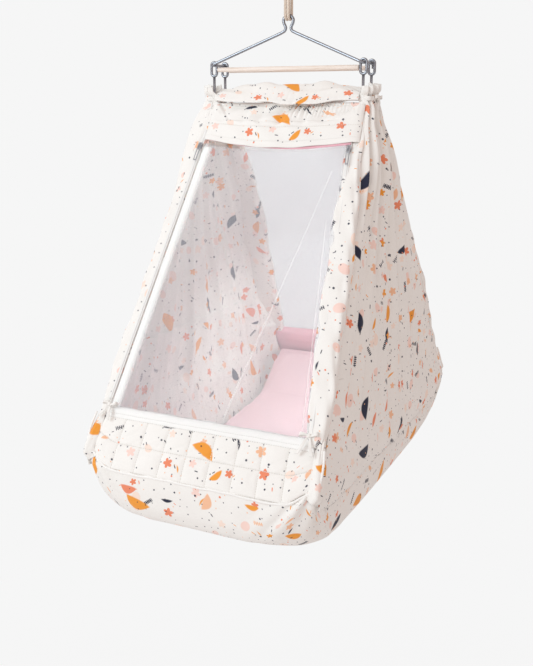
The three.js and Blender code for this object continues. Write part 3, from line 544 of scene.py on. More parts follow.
class Shader:
    """The nodes of a material or a world, with one method for any node."""

    def __init__(self, owner: "str | bpy.types.World") -> None:
        """Empties a world, or a new material of the given name."""
        self.owner = bpy.data.materials.new(owner) if isinstance(owner, str) else owner
        self.owner.use_nodes = True
        self.tree = self.owner.node_tree
        self.tree.nodes.clear()

    def node(self, kind: str, settings: Optional[dict] = None, inputs: Optional[dict] = None) -> bpy.types.Node:
        """Adds a node.

        Args:
            kind: The node's type.
            settings: The node's own settings, set before its sockets. "stops" sets a colour ramp's stops.
            inputs: Values or links of its input sockets, by name or number.

        Returns:
            The node.
        """
        made = self.tree.nodes.new(kind)
        for key, value in (settings or {}).items():
            if key == "stops":
                self._set_stops(made, value)
            else:
                setattr(made, key, value)
        for key, value in (inputs or {}).items():
            target = made.inputs[key]
            if isinstance(value, (Socket, bpy.types.NodeSocket)):
                self.tree.links.new(value.socket if isinstance(value, Socket) else value, target)
            elif target.type == "RGBA" and len(value) == 3:
                target.default_value = (*value, 1.0)
            else:
                target.default_value = value
        return made

    @staticmethod
    def _set_stops(ramp: bpy.types.Node, stops: Sequence[tuple[float, Sequence[float]]]) -> None:
        """Sets the places and colours of a colour ramp."""
        elements = ramp.color_ramp.elements
        while len(elements) > len(stops):
            elements.remove(elements[-1])
        while len(elements) < len(stops):
            elements.new(1.0)
        for element, (place, colour) in zip(elements, stops):
            element.position = place
            element.color = (*colour, 1.0)

    def out(self, node: bpy.types.Node, socket: str | int = 0) -> Socket:
        """A node's output, ready for sums."""
        return Socket(self, node.outputs[socket])

    def math(self, operation: str, *values: "Socket | float") -> Socket:
        """A Math node of the given values."""
        return self.out(self.node("ShaderNodeMath", {"operation": operation}, dict(enumerate(values))))

    def vector(self, operation: str, *values: "Socket | Sequence[float]", result: str = "Vector") -> Socket:
        """A Vector Math node of the given vectors."""
        made = self.node("ShaderNodeVectorMath", {"operation": operation}, dict(enumerate(values)))
        return self.out(made, result)

    def split(self, vector: Socket) -> tuple[Socket, Socket, Socket]:
        """The three parts of a vector."""
        made = self.node("ShaderNodeSeparateXYZ", None, {0: vector})
        return self.out(made, 0), self.out(made, 1), self.out(made, 2)

    def mix(self, factor: Socket, low: "Socket | Sequence[float]", high: "Socket | Sequence[float]") -> Socket:
        """Two colours mixed."""
        return self.out(self.node("ShaderNodeMix", {"data_type": "RGBA"}, {"Factor": factor, 6: low, 7: high}), 2)

    def tint(self, colour: "Socket | Sequence[float]", strength: Socket) -> Socket:
        """A colour made lighter or darker by a factor."""
        return self.out(self.node("ShaderNodeVectorMath", {"operation": "SCALE"}, {"Scale": strength, 0: colour}))

    def noise(self, place: Socket, scale: float, detail: float = 3.0, roughness: float = 0.5) -> Socket:
        """Noise from 0 to 1 over places."""
        made = self.node(
            "ShaderNodeTexNoise", None, {"Vector": place, "Scale": scale, "Detail": detail, "Roughness": roughness}
        )
        return self.out(made, "Fac")

    def flat(self, layer: str = CLOTH_MAP) -> Socket:
        """The flat coordinates of a cloth."""
        return self.out(self.node("ShaderNodeUVMap", {"uv_map": layer}))

    def place(self) -> Socket:
        """The object's own coordinates in metres."""
        return self.out(self.node("ShaderNodeTexCoord"), "Object")

    def bump(self, height: Socket, distance: float, strength: float = 1.0) -> Socket:
        """A normal bent by a height."""
        made = self.node("ShaderNodeBump", None, {"Height": height, "Distance": distance, "Strength": strength})
        return self.out(made)

    def finish(self, **sockets: "Socket | float | Sequence[float]") -> bpy.types.Material:
        """Ends the material with a Principled shader.

        Args:
            sockets: Its sockets by name, with spaces as underscores.

        Returns:
            The material.
        """
        inputs = {key.replace("_", " "): value for key, value in sockets.items()}
        surface = self.node("ShaderNodeBsdfPrincipled", None, inputs)
        self.node("ShaderNodeOutputMaterial", None, {"Surface": surface.outputs[0]})
        return self.owner


def linear(code: str) -> tuple[float, float, float]:
    """A written colour such as "F4ECE2" as linear light."""
    parts = (int(code[i : i + 2], 16) / 255 for i in (0, 2, 4))
    red, green, blue = (p / 12.92 if p <= 0.04045 else ((p + 0.055) / 1.055) ** 2.4 for p in parts)
    return red, green, blue


# Finishes


class Shape(Enum):
    """Shapes of the print's motifs."""

    LEAF = "leaf"
    PEBBLE = "pebble"
    BLOSSOM = "blossom"
    SPRIG = "sprig"
    DOT = "dot"
    DASH = "dash"


@dataclass(frozen=True)
class Motif:
    """One layer of the print: a shape strewn over the cloth, one to a cell."""

    shape: Shape
    colours: tuple[str, ...]
    cell: float
    size: float
    slim: float = 0.45
    share: float = 1.0
    shift: tuple[float, float] = (0.0, 0.0)

    def draw(self, shader: Shader, flat: Socket, ground: Socket) -> Socket:
        """Draws the layer over what is there.

        Args:
            shader: The material.
            flat: The cloth's flat coordinates.
            ground: The colour under the layer.

        Returns:
            The colour with the layer on it.
        """
        place = shader.vector("ADD", flat, (*self.shift, 0.0))
        cells = shader.node(
            "ShaderNodeTexVoronoi",
            {"voronoi_dimensions": "2D", "feature": "F1"},
            {"Vector": place, "Scale": 1 / self.cell, "Randomness": 0.5},
        )
        chance, tone, turned = shader.split(shader.out(cells, "Color"))
        x, y, _ = shader.split(shader.vector("SUBTRACT", place, shader.out(cells, "Position")))
        angle = turned * (2 * math.pi)
        cosine, sine = angle.cosine(), angle.sine()
        along, over = (x * cosine + y * sine) / self.size, (y * cosine - x * sine) / self.size
        grown = self._outline(along, over) * (chance * 3.7).fraction().ramp(0, 1, 0.82, 1.22)
        blur = 0.35 * MM / self.size
        mask = grown.ramp(1 - blur * 2, 1 + blur * 2, 1.0, 0.0) * chance.ramp(self.share, self.share + 0.001, 1.0, 0.0)
        stops = [(i / len(self.colours), linear(c)) for i, c in enumerate(self.colours)]
        ramp = shader.node("ShaderNodeValToRGB", {"stops": stops}, {0: tone})
        ramp.color_ramp.interpolation = "CONSTANT"
        return shader.mix(mask, ground, shader.out(ramp, "Color"))

    def _outline(self, along: Socket, over: Socket) -> Socket:
        """A value that is 1 on the shape's edge and grows outwards, for a shape of half length 1."""
        if self.shape is Shape.LEAF:
            bend = over + along * along * 0.22
            lens = (along * along + (abs(bend) + (1 / self.slim - self.slim) / 2) ** 2) ** 0.5
            return lens / ((1 / self.slim + self.slim) / 2)
        if self.shape is Shape.BLOSSOM:
            reach = (along * along + over * over) ** 0.5
            angle = reach.shader.math("ARCTAN2", over, along)
            petals = (angle * 2.5).cosine()
            return reach / (abs(petals) * 0.5 + 0.5)
        if self.shape is Shape.SPRIG:
            stem = (abs(over) / 0.07).most(abs(along))
            step = (along * 2.5 + 0.5).fraction() - 0.5
            tilt = abs(over) - 0.22
            leaves = ((step / 0.3) ** 2 + (tilt / 0.19) ** 2) ** 0.5
            return stem.least(leaves.most(abs(along)))
        if self.shape is Shape.DASH:
            return (abs(along) ** 4 + abs(over / self.slim) ** 4) ** 0.25
        stretched = over / self.slim if self.shape is Shape.PEBBLE else over
        return (along * along + stretched * stretched) ** 0.5


ORANGE, CORAL, PEACH, NAVY = "F29E3A", "EE8C69", "F6C09C", "1F243D"
BLUSH, PALE, INK = "F8D8CE", "F9E3D6", "2E3244"

MOTIFS = (
    Motif(Shape.PEBBLE, (BLUSH, PALE, BLUSH), 0.066, 0.0095, 0.74, 0.62, (0.31, 0.17)),
    Motif(Shape.BLOSSOM, (PEACH, PALE, CORAL, BLUSH), 0.060, 0.0076, 1.0, 0.62, (0.07, 0.41)),
    Motif(Shape.SPRIG, (INK, PEACH, INK, NAVY), 0.072, 0.0085, 1.0, 0.58, (0.53, 0.29)),
    Motif(Shape.LEAF, (ORANGE, CORAL, PEACH), 0.078, 0.0115, 0.36, 0.58, (0.83, 0.61)),
    Motif(Shape.LEAF, (ORANGE,), 0.120, 0.0165, 0.31, 0.56, (0.61, 0.07)),
    Motif(Shape.LEAF, (NAVY,), 0.116, 0.0135, 0.33, 0.58, (0.19, 0.77)),
    Motif(Shape.BLOSSOM, (ORANGE, CORAL), 0.086, 0.0080, 1.0, 0.58, (0.91, 0.33)),
    Motif(Shape.DASH, (INK, CORAL, INK, ORANGE), 0.036, 0.0030, 0.26, 0.50, (0.47, 0.13)),
    Motif(Shape.DOT, (INK, NAVY, PEACH, INK), 0.0140, 0.0010, 1.0, 0.48, (0.11, 0.23)),
    Motif(Shape.DOT, (CORAL, NAVY, INK), 0.041, 0.0017, 1.0, 0.60, (0.37, 0.57)),
)


@dataclass(frozen=True)
class Cotton:
    """Woven cotton, plain or printed, with stitching on the whole lines of its seam coordinates."""

    name: str
    colour: str = "F7F4F0"
    printed: bool = False
    stitched: bool = False
    thread: str = "E4DED6"
    roughness: float = 0.88
    sheen: float = 0.12
    weave: float = 0.0011

    def make(self) -> bpy.types.Material:
        """The cloth's material."""
        shader = Shader(self.name)
        flat = shader.flat()
        u, v, _ = shader.split(flat)
        blotch = shader.noise(flat, 9.0, 4.0)
        slub = shader.noise(flat, 420.0, 2.0)
        colour = shader.tint(linear(self.colour), blotch.ramp(0.25, 0.75, 0.965, 1.0) * slub.ramp(0.3, 0.7, 0.975, 1.0))
        if self.printed:
            for motif in MOTIFS:
                colour = motif.draw(shader, flat, colour)
        turns = 2 * math.pi / self.weave
        threads = (u * turns).sine() * (v * turns).sine()
        crumple = shader.noise(flat, 60.0, 3.0)
        height = threads * 0.10 + crumple * 0.9 + slub * 0.15
        rough = slub.ramp(0.2, 0.8, self.roughness - 0.04, self.roughness + 0.05)
        if self.stitched:
            line = self._stitches(shader, u, v)
            colour = shader.mix(line, colour, linear(self.thread))
            height = height - line * 0.8
        return shader.finish(
            Base_Color=colour,
            Roughness=rough,
            Normal=shader.bump(height, 0.0006, 0.55),
            Sheen_Weight=self.sheen,
            Sheen_Roughness=0.5,
        )

    @staticmethod
    def _stitches(shader: Shader, u: Socket, v: Socket) -> Socket:
        """A mask of dashes on the whole lines of the seam coordinates."""
        across, down, _ = shader.split(shader.flat(SEAM_MAP))
        off_line = [abs((value + 0.5).fraction() - 0.5) for value in (across, down)]
        dash = [((value / 0.0042).fraction() - 0.5) for value in (v, u)]
        marks = [
            near.ramp(0.010, 0.016, 1.0, 0.0) * abs(gap).ramp(0.30, 0.36, 1.0, 0.0) for near, gap in zip(off_line, dash)
        ]
        return marks[0].most(marks[1])


@dataclass(frozen=True)
class Net:
    """Fine net that shows as a veil, with creases from its folding, drawn denser and with a painted highlight."""

    name: str = "fine_net"
    colour: str = "DFDFE5"
    # Colour of the crease lines: a painted highlight of the folds.
    crease: str = "FBFBFC"
    cover: float = 0.20
    mesh: float = 0.0016
    creases: tuple[tuple[float, float, float, float], ...] = ()
    fades: Optional[tuple[float, float]] = None

    def make(self) -> bpy.types.Material:
        """The net's material."""
        shader = Shader(self.name)
        flat = shader.flat()
        u, v, _ = shader.split(flat)
        turns = math.pi / self.mesh
        holes = abs((u * turns + v * turns).sine()) * abs((u * turns - v * turns).sine())
        cloud = shader.noise(flat, 7.0, 3.0)
        alpha = holes.ramp(0.0, 1.0, self.cover + 0.05, self.cover - 0.05) + (cloud - 0.5) * 0.08
        line = None
        for u1, v1, u2, v2 in self.creases:
            long = math.hypot(u2 - u1, v2 - v1)
            off = abs((u - u1) * ((v2 - v1) / long) - (v - v1) * ((u2 - u1) / long))
            along = ((u - u1) * ((u2 - u1) / long) + (v - v1) * ((v2 - v1) / long)) / long
            mark = off.ramp(0.0003, 0.0015, 1.0, 0.0) * along.ramp(0.0, 0.04) * along.ramp(0.96, 1.0, 1.0, 0.0)
            line = mark if line is None else line.most(mark)
        colour = linear(self.colour)
        if self.fades is not None:
            alpha = alpha * u.ramp(*self.fades, 1.0, 0.0)
        # Crease lines: more cover where the net lies doubled, and a lighter colour that is a painted highlight of the
        # fold.
        if line is not None:
            alpha = alpha + line * 0.12
            colour = shader.mix(line, colour, linear(self.crease))
        return shader.finish(
            Base_Color=colour, Roughness=0.7, Alpha=alpha.least(0.9), Normal=shader.bump(cloud, 0.001, 0.3)
        )


@dataclass(frozen=True)
class Plated:
    """Plated or plain steel, with faint draw marks and handling wear."""

    name: str
    colour: str = "C9CBCF"
    roughness: float = 0.2
    grain: float = 900.0

    def make(self) -> bpy.types.Material:
        """The metal's material."""
        shader = Shader(self.name)
        place = shader.place()
        fine = shader.noise(place, self.grain, 2.0)
        cloud = shader.noise(place, 40.0, 4.0)
        colour = shader.tint(linear(self.colour), cloud.ramp(0.3, 0.75, 0.9, 1.04))
        rough = (fine * 0.10 + cloud * 0.16) + (self.roughness - 0.1)
        return shader.finish(Base_Color=colour, Roughness=rough, Metallic=1.0, Normal=shader.bump(fine, 0.0001, 0.4))


@dataclass(frozen=True)
class PaleWood:
    """A plain pale dowel with its grain along X."""

    name: str = "pale_wood"
    colour: str = "F4E8DF"
    dark: str = "E3CFBE"

    def make(self) -> bpy.types.Material:
        """The wood's material."""
        shader = Shader(self.name)
        x, y, z = shader.split(shader.place())
        stretched = shader.out(shader.node("ShaderNodeCombineXYZ", None, {0: x * 0.06, 1: y, 2: z}))
        grain = shader.noise(stretched, 380.0, 4.0, 0.6)
        pores = shader.noise(stretched, 1500.0, 2.0)
        colour = shader.mix(grain.ramp(0.42, 0.66) * 0.7, linear(self.colour), linear(self.dark))
        return shader.finish(
            Base_Color=colour,
            Roughness=pores.ramp(0.2, 0.8, 0.5, 0.68),
            Normal=shader.bump(grain + pores * 0.5, 0.0003, 0.5),
        )


@dataclass(frozen=True)
class CottonRope:
    """Twisted cotton rope with loose fibres."""

    name: str = "cotton_rope"
    colour: str = "E9DACB"
    dark: str = "C9B39C"

    def make(self) -> bpy.types.Material:
        """The rope's material."""
        shader = Shader(self.name)
        u, v, _ = shader.split(shader.flat())
        yarn = ((u * 1500.0) - (v * 900.0)).sine()
        fuzz = shader.noise(shader.flat(), 900.0, 3.0, 0.7)
        colour = shader.mix(fuzz.ramp(0.35, 0.7) * 0.6, linear(self.colour), linear(self.dark))
        return shader.finish(
            Base_Color=colour,
            Roughness=fuzz.ramp(0.2, 0.8, 0.88, 1.0),
            Normal=shader.bump(yarn * 0.5 + fuzz, 0.0004, 0.7),
            Sheen_Weight=0.2,
        )


@dataclass(frozen=True)
class Backdrop:
    """A pale ground that looks evenly lit to the camera and still takes a faint shadow."""

    name: str = "pale_ground"
    colour: str = PALE_GREY
    shadow: float = 0.12

    def make(self) -> bpy.types.Material:
        """The ground's material."""
        shader = Shader(self.name)
        seen = shader.node("ShaderNodeLightPath")
        direct = shader.out(seen, "Is Camera Ray").most(shader.out(seen, "Is Glossy Ray"))
        direct = direct.most(shader.out(seen, "Is Transmission Ray"))
        matt = shader.node("ShaderNodeBsdfDiffuse", None, {"Color": linear(self.colour)})
        glow = shader.node("ShaderNodeEmission", None, {"Color": linear(self.colour), "Strength": 1.0})
        far = shader.vector("LENGTH", shader.place(), result="Value").ramp(1.2, 3.2)
        glowing = direct * (far * self.shadow + (1 - self.shadow))
        both = shader.node("ShaderNodeMixShader", None, {0: glowing, 1: matt.outputs[0], 2: glow.outputs[0]})
        shader.node("ShaderNodeOutputMaterial", None, {"Surface": both.outputs[0]})
        return shader.owner


class Finishes:
    """Every finish of the cradle, each made once."""

    def __init__(self) -> None:
        """Makes the materials."""
        self.print_cloth = Cotton("printed_cotton", printed=True).make()
        self.quilted_print = Cotton("quilted_printed_cotton", printed=True, stitched=True).make()
        self.pink = Cotton("pink_cotton", colour="F7BECB", sheen=0.2).make()
        self.white = Cotton("white_cotton_binding", colour="FAF9F7", stitched=True, thread="DAD7D2").make()
        creases = ((0.031, 0.0, 0.1273, 0.4691), (0.1757, 0.009, 0.1351, 0.3735))
        self.front_net = Net("front_net", creases=creases).make()
        self.back_net = Net("back_net").make()
        self.net_hem = Net("net_hem", colour="FBFBF9", cover=0.68, fades=(-0.005, 0.0112)).make()
        self.zip_cloth = Cotton("zip_tape", colour="F3F2F0", roughness=0.7).make()
        self.piping = Cotton("white_piping_cotton", colour="FAF8F5").make()
        self.slider = Plated("bright_slider", "B4B6BB", 0.28).make()
        self.mattress = Cotton("pink_mattress_cotton", colour="FAD5DD", sheen=0.2).make()
        self.chrome = Plated("bright_plated_rod", "9A9CA3", 0.22).make()
        self.steel = Plated("satin_steel", "A2A4A9", 0.34).make()
        self.wood = PaleWood().make()
        self.rope = CottonRope().make()
        self.ground = Backdrop().make()


def dress(piece: bpy.types.Object, material: bpy.types.Material, slot: str, body: str, *nodes: str) -> bpy.types.Object:
    """Gives a piece its finish and its body, and hides the CAD nodes that it replaces.

    Args:
        piece: The piece.
        material: Its finish.
        slot: The record's material slot. Not used.
        body: The CAD body that it rides on.
        nodes: CAD nodes that it replaces.

    Returns:
        The piece.
    """
    piece.data.materials.clear()
    piece.data.materials.append(material)
    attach(piece, body)
    if nodes:
        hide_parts(*nodes)
    log.info("%s rides on %s", piece.name, body)
    return piece


# Rods, wood and rope


@dataclass
class RodWork:
    """The hanger, the two bent side frames, the end rails and the wooden spreaders."""

    finishes: Finishes
    rod: float = 5.0
    hanger_rod: float = 5.5
    bend: float = 8.5
    hanger_bend: float = 6.0
    corner: float = 31.0
    tail: float = 29.0
    tail_drop: float = 9.0
    seat_y: float = -12.0
    seat_top: float = 755.0
    seat_height: float = 30.0
    seat_half: float = 9.6
    eye_height: float = 12.5
    clearance: float = 0.4
    rail_inset: float = 14.0
    dowel_diameter: float = 8.5
    dowel_height: float = 663.0

    @property
    def eye_half(self) -> float:
        """Half the width of a hanging eye's centre line."""
        return (self.hanger_rod + self.rod) / 2 + self.clearance

    @property
    def eye_middle(self) -> float:
        """Height of a hanging eye's middle."""
        return PLAN.bar_height + self.eye_half - self.eye_height

    def build(self) -> None:
        """Makes every rod and dowel."""
        self.hanger()
        for side in Side:
            self.side_frame(side)
        for end in End:
            self.end_rail(end)
            self.dowel(end)

    def hanger(self) -> None:
        """The triangular hanger with its two bars and the seat for the rope."""
        shares = [(1.55, 0), (0.72, 0.15), (0.56, 0.32), (0.92, 0.58), (1, 0.78), (0.58, 0.95)]
        half = [
            np.array([self.seat_half * x, self.seat_y, self.seat_top - self.seat_height * (1 - z)]) for x, z in shares
        ]
        mirror = np.array([-1.0, 1.0, 1.0])
        outline = [p * mirror for p in half] + [np.array([0, self.seat_y, self.seat_top])] + half[::-1]
        seat = through(np.array(outline), 10)

        def bar(sign: int, inner: Array) -> Array:
            x, top = sign * PLAN.top_width / 2, PLAN.bar_height
            corners = [(x, self.tail, top - self.tail_drop), (x, self.tail, top), (x, -self.corner, top), inner]
            return bent_path([np.array(c, float) for c in corners], self.hanger_bend)

        path = np.concatenate([bar(-1, seat[0]), seat[1:-1], bar(1, seat[-1])[::-1]])
        piece = tube_object("hanger_rod", PLAN.row(path), self.hanger_rod / 2 * MM, 20)
        dress(piece, self.finishes.chrome, "chrome", "cradle", "hanger")

    def side_frame(self, side: Side) -> None:
        """A side frame: two legs, their eyes round the hanger's bar, and the long bottom rail."""
        top_height = self.eye_middle - self.eye_height
        heights = [(End.FRONT, top_height), (End.FRONT, PLAN.leg_bend), (End.FRONT, 0.0)]
        heights += [(End.REAR, 0.0), (End.REAR, PLAN.leg_bend), (End.REAR, top_height)]
        path = bent_path([PLAN.leg_point(side, end, z) for end, z in heights], self.bend)
        parts = [tube_object("leg", PLAN.row(path), self.rod / 2 * MM, 20)]
        parts += [self._eye(PLAN.leg_point(side, end, self.eye_middle), self.eye_half, self.eye_height) for end in End]
        piece = joined(f"{side.label}_frame_rods", parts)
        dress(piece, self.finishes.chrome, "chrome", "cradle", f"{side.label}_side_frame")

    def _eye(self, middle: Array, half_width: float, half_height: float) -> bpy.types.Object:
        """An upright eye of rod round a bar that runs along Y."""
        turn = circle(40) + math.pi / 40
        x, z = half_width * np.cos(turn), half_width * np.sin(turn)
        z = z + np.sign(z) * (half_height - half_width)
        ring = stack(middle[0] + x, middle[1], middle[2] + z)
        return tube_object("eye", PLAN.row(ring), self.rod / 2 * MM, 16, closed=True)

    def end_rail(self, end: End) -> None:
        """A rail across the bottom, with an eye at each end round the side rails."""
        eye = self.rod + self.clearance
        y = end.value * (PLAN.length / 2 - self.rail_inset - self.rod)
        reach = PLAN.width / 2 - eye
        path = stack(np.linspace(-reach, reach, 9), y, 0.0)
        parts = [tube_object("rail", PLAN.row(path), self.rod / 2 * MM, 20)]
        parts += [self._eye(np.array([side.value * PLAN.width / 2, y, 0.0]), eye, eye) for side in Side]
        piece = joined(f"{end.label}_cross_rail", parts)
        dress(piece, self.finishes.chrome, "chrome", "cradle", f"{end.label}_end_rail")

    def dowel(self, end: End) -> None:
        """A pale wooden spreader with broken edges."""
        reach = PLAN.top_width / 2 - self.eye_half - self.rod / 2 - 0.3
        x = np.concatenate([[-reach, -reach + 0.4], np.linspace(-reach + 1.2, reach - 1.2, 30), [reach - 0.4, reach]])
        path = stack(x, end.value * PLAN.leg_spacing / 2, self.dowel_height)
        full = self.dowel_diameter / 2 * MM

        def radius(share: Array, length: Array) -> Array:
            from_end = np.minimum(length, 2 * reach * MM - length)
            return full - 0.8 * MM * (1 - np.clip(from_end / (1.2 * MM), 0, 1)) ** 2

        piece = tube_object(f"{end.label}_spreader", PLAN.row(path), radius, 28)
        dress(piece, self.finishes.wood, "wood", "cradle", f"{end.label}_dowel")


def between(time: Array, start: float, stop: float, first: Array, last: Array) -> Array:
    """Where something is at a time that goes straight from the first point to the last between start and stop."""
    return ((stop - time) * first + (time - start) * last) / (stop - start)


def through(points: Array, steps: int) -> Array:
    """A smooth line through points, as a centripetal Catmull-Rom curve.

    Args:
        points: The points that the line passes.
        steps: Steps between two of them.

    Returns:
        Points along the line.
    """
    ends = np.concatenate([[2 * points[0] - points[1]], points, [2 * points[-1] - points[-2]]])
    line = []
    for p0, p1, p2, p3 in zip(ends, ends[1:], ends[2:], ends[3:]):
        gaps = (math.sqrt(np.linalg.norm(b - a)) for a, b in ((p0, p1), (p1, p2), (p2, p3)))
        t0, t1, t2, t3 = np.cumsum([0.0, *gaps])
        t = np.linspace(t1, t2, steps, endpoint=False)[:, None]
        a1, a2, a3 = between(t, t0, t1, p0, p1), between(t, t1, t2, p1, p2), between(t, t2, t3, p2, p3)
        b1, b2 = between(t, t0, t2, a1, a2), between(t, t1, t3, a2, a3)
        line.append(between(t, t1, t2, b1, b2))
    return np.concatenate([*line, points[-1:]])


@dataclass
class Suspension:
    """The ceiling plate with its swivelling eye, the doubled rope and the rope's knot."""

    finishes: Finishes
    cad: dict[str, bpy.types.Object]
    diameter: float = 5.4
    pitch: float = 5.95
    seat: float = 755.0
    eye: float = 945.0
    turns: int = 2
    lower: float = 6.65
    upper: float = 8.0
    knot_offset: float = 10.3
    knot_radius: float = 6.6
    knot_height: float = 17.0
    knot_reach: float = 38.0
    end_gap: float = 0.6

    @property
    def knot_middle(self) -> float:
        """Height of the knot's middle."""
        return (self.seat + self.eye) / 2

    def build(self) -> None:
        """Makes the rope and the knot, and finishes the ceiling's fittings."""
        for name in ("ceiling_plate", "swivel_eye"):
            piece = self.cad[name]
            piece.data.materials.clear()
            piece.data.materials.append(self.finishes.steel)
        knot = self.knot()
        path = PLAN.row(self.line()) - (0, PLAN.hang_shift * MM, 0)
        full = self.diameter / 2 * MM

        def strands(share: Array, along: Array) -> Array:
            lay = 1.5 * 2 * math.pi * (share - along / (11 * MM))
            return full * (0.84 + 0.16 * np.abs(np.cos(lay)) ** 0.7)

        rope = tube_object("doubled_rope", path, strands, 24)
        dress(rope, self.finishes.rope, "rope", "rope", "rope_loop")
        tuple(path[0])
        [tuple(p) for p in path]

    def _station(self, turns: float, beside: float, height: float) -> Array:
        """A point of the rope, by how far round the winding it is, beside the middle plane, and its height."""
        quarter = math.pi / 2 * float(smooth((height - self.seat) / (self.eye - self.seat)))
        shift, depth = self.pitch * (turns - 0.75), beside
        from_knot = abs(height - self.knot_middle) - self.knot_height / 2 - self.diameter
        near = 1 - float(smooth(from_knot / self.knot_reach))
        if near > 0 and (turns < 0.25 or turns > self.turns - 0.25):
            reach = blend(self.pitch, self.knot_offset, near)
            shift = self.pitch / 4 + (-1 if turns < 1 else 1) * reach * math.cos(math.pi / 2 * near)
            depth = beside - reach * math.sin(math.pi / 2 * near)
        x = shift * math.cos(quarter) - depth * math.sin(quarter)
        return np.array([x, shift * math.sin(quarter) + depth * math.cos(quarter), height])

    def _beside(self, height: float) -> float:
        """Distance of a strand from the middle plane at a height."""
        return blend(self.lower, self.upper, (height - self.seat) / (self.eye - self.seat))

    def _strand(self, start: float, stop: float, low: float, high: float, sign: int) -> list[Array]:
        """A straight stretch of the rope between two places in the winding and two heights."""
        steps = max(12, int(abs(high - low) / 1.6))
        rows = ((i / steps, blend(low, high, i / steps)) for i in range(steps))
        return [self._station(blend(start, stop, share), sign * self._beside(z), z) for share, z in rows]

    def _bight(self, start: float, stop: float, height: float, radius: float, sign: int) -> list[Array]:
        """A half turn of the rope round the seat or the eye."""
        steps = 16
        turns = [math.pi * i / steps for i in range(steps)]
        return [
            self._station(
                blend(start, stop, turn / math.pi),
                sign * radius * math.cos(turn),
                height + sign * radius * math.sin(turn),
            )
            for turn in turns
        ]

    def line(self) -> Array:
        """The rope's centre line from its lower end to its upper end."""
        under = self.knot_middle - self.knot_height / 2 - self.end_gap
        above = self.knot_middle + self.knot_height / 2 + self.end_gap
        points = [self._station(0, -self._beside(under), under)]
        for turn in range(self.turns):
            start = under - self.diameter if turn == 0 else self.knot_middle
            stop = above + self.diameter if turn == self.turns - 1 else self.knot_middle
            points += self._strand(turn, turn + 0.2, start, self.seat, -1)
            points += self._bight(turn + 0.2, turn + 0.3, self.seat, self.lower, -1)
            points += self._strand(turn + 0.3, turn + 0.7, self.seat, self.eye, 1)
            points += self._bight(turn + 0.7, turn + 0.8, self.eye, self.upper, 1)
            points += self._strand(turn + 0.8, turn + 1, self.eye, stop, -1)
        last = above + self.diameter
        points += [self._station(self.turns, -self._beside(z), z) for z in (last, above)]
        return np.array(points)

    def knot(self) -> bpy.types.Object:
        """The knot: the rope's ends wound round each other into a barrel of sloping turns."""
        middle = self._station(0, -self._beside(self.knot_middle), self.knot_middle)
        half = self.knot_height / 2
        z = np.linspace(-half, half, 60)
        path = PLAN.row(stack(middle[0], middle[1], middle[2] + z))
        path = path - (0, PLAN.hang_shift * MM, 0)

        def turns(share: Array, along: Array) -> Array:
            up = along / (2 * half * MM)
            barrel = np.sqrt(np.clip(1 - (2 * up - 1) ** 6, 0.02, 1))
            ridge = np.abs(arch(along / (4.3 * MM) + share))
            return self.knot_radius * MM * barrel * (0.82 + 0.18 * ridge**0.6)

        piece = tube_object("rope_binding_knot", path, turns, 36)
        return dress(piece, self.finishes.rope, "rope", "rope", "rope_knot")


# Cloth pieces


def plait(share: Array, count: float, phase: float, at: Array, reach: float) -> Array:
    """Fine gathers that fade with the distance from a seam.

    Args:
        share: Place along the seam.
        count: How many gathers there are.
        phase: Shift of the gathers.
        at: Distance from the seam.
        reach: Distance at which they have mostly gone.

    Returns:
        Height of the cloth, from about -1 to 1.
    """
    return uneven_folds(share, count, phase) * fade(np.maximum(at, 0), reach)


def steps_through(value: Array, places: Sequence[float]) -> Array:
    """A coordinate that is 0, 1, 2 and so on at the given places, and straight between them."""
    return np.interp(value, places, np.arange(len(places)))


@dataclass(frozen=True)
class Local:
    """A small frame of its own: an origin and three directions in the layout."""

    origin: Array
    across: Array
    up: Array
    out: Array

    def place(self, points: Array) -> Array:
        """Points of the small frame as points in metres in the CAD's frame."""
        points = np.asarray(points, float)
        turned = points[..., :1] * self.across + points[..., 1:2] * self.up + points[..., 2:3] * self.out
        return PLAN.row(self.origin + turned)


def end_frame(end: End, side: Side, inset: float, along: float, layer: float) -> Local:
    """A frame on an end beside a leg, with Y up the slope and Z outwards."""

    def at(distance: float, out: float = layer) -> Array:
        return PLAN.on_end(end, side.value * (PLAN.leg_half(distance) - inset), distance, out)

    up = at(along + 100) - at(along)
    up = up / np.linalg.norm(up)
    out = PLAN.on_end(end, 0.0, along, layer + 100) - PLAN.on_end(end, 0.0, along, layer)
    out = out / np.linalg.norm(out)
    across = np.cross(-up, out)
    return Local(at(along), across, up, out)


def ribbon(name: str, frame: Local, path: Array, wide: Array, thickness: float = 0.9) -> bpy.types.Object:
    """A strip of cloth along a path.

    Args:
        name: The strip's name.
        frame: The frame that the path is in.
        path: Points of the strip's middle line, in millimetres.
        wide: At each point, half the strip's width as a vector.
        thickness: Thickness of the cloth in millimetres.

    Returns:
        The strip.
    """
    shares = np.linspace(-1, 1, 6)[:, None, None]
    return Cloth(name, frame.place(path[None] + shares * wide[None]), thickness * MM).build()


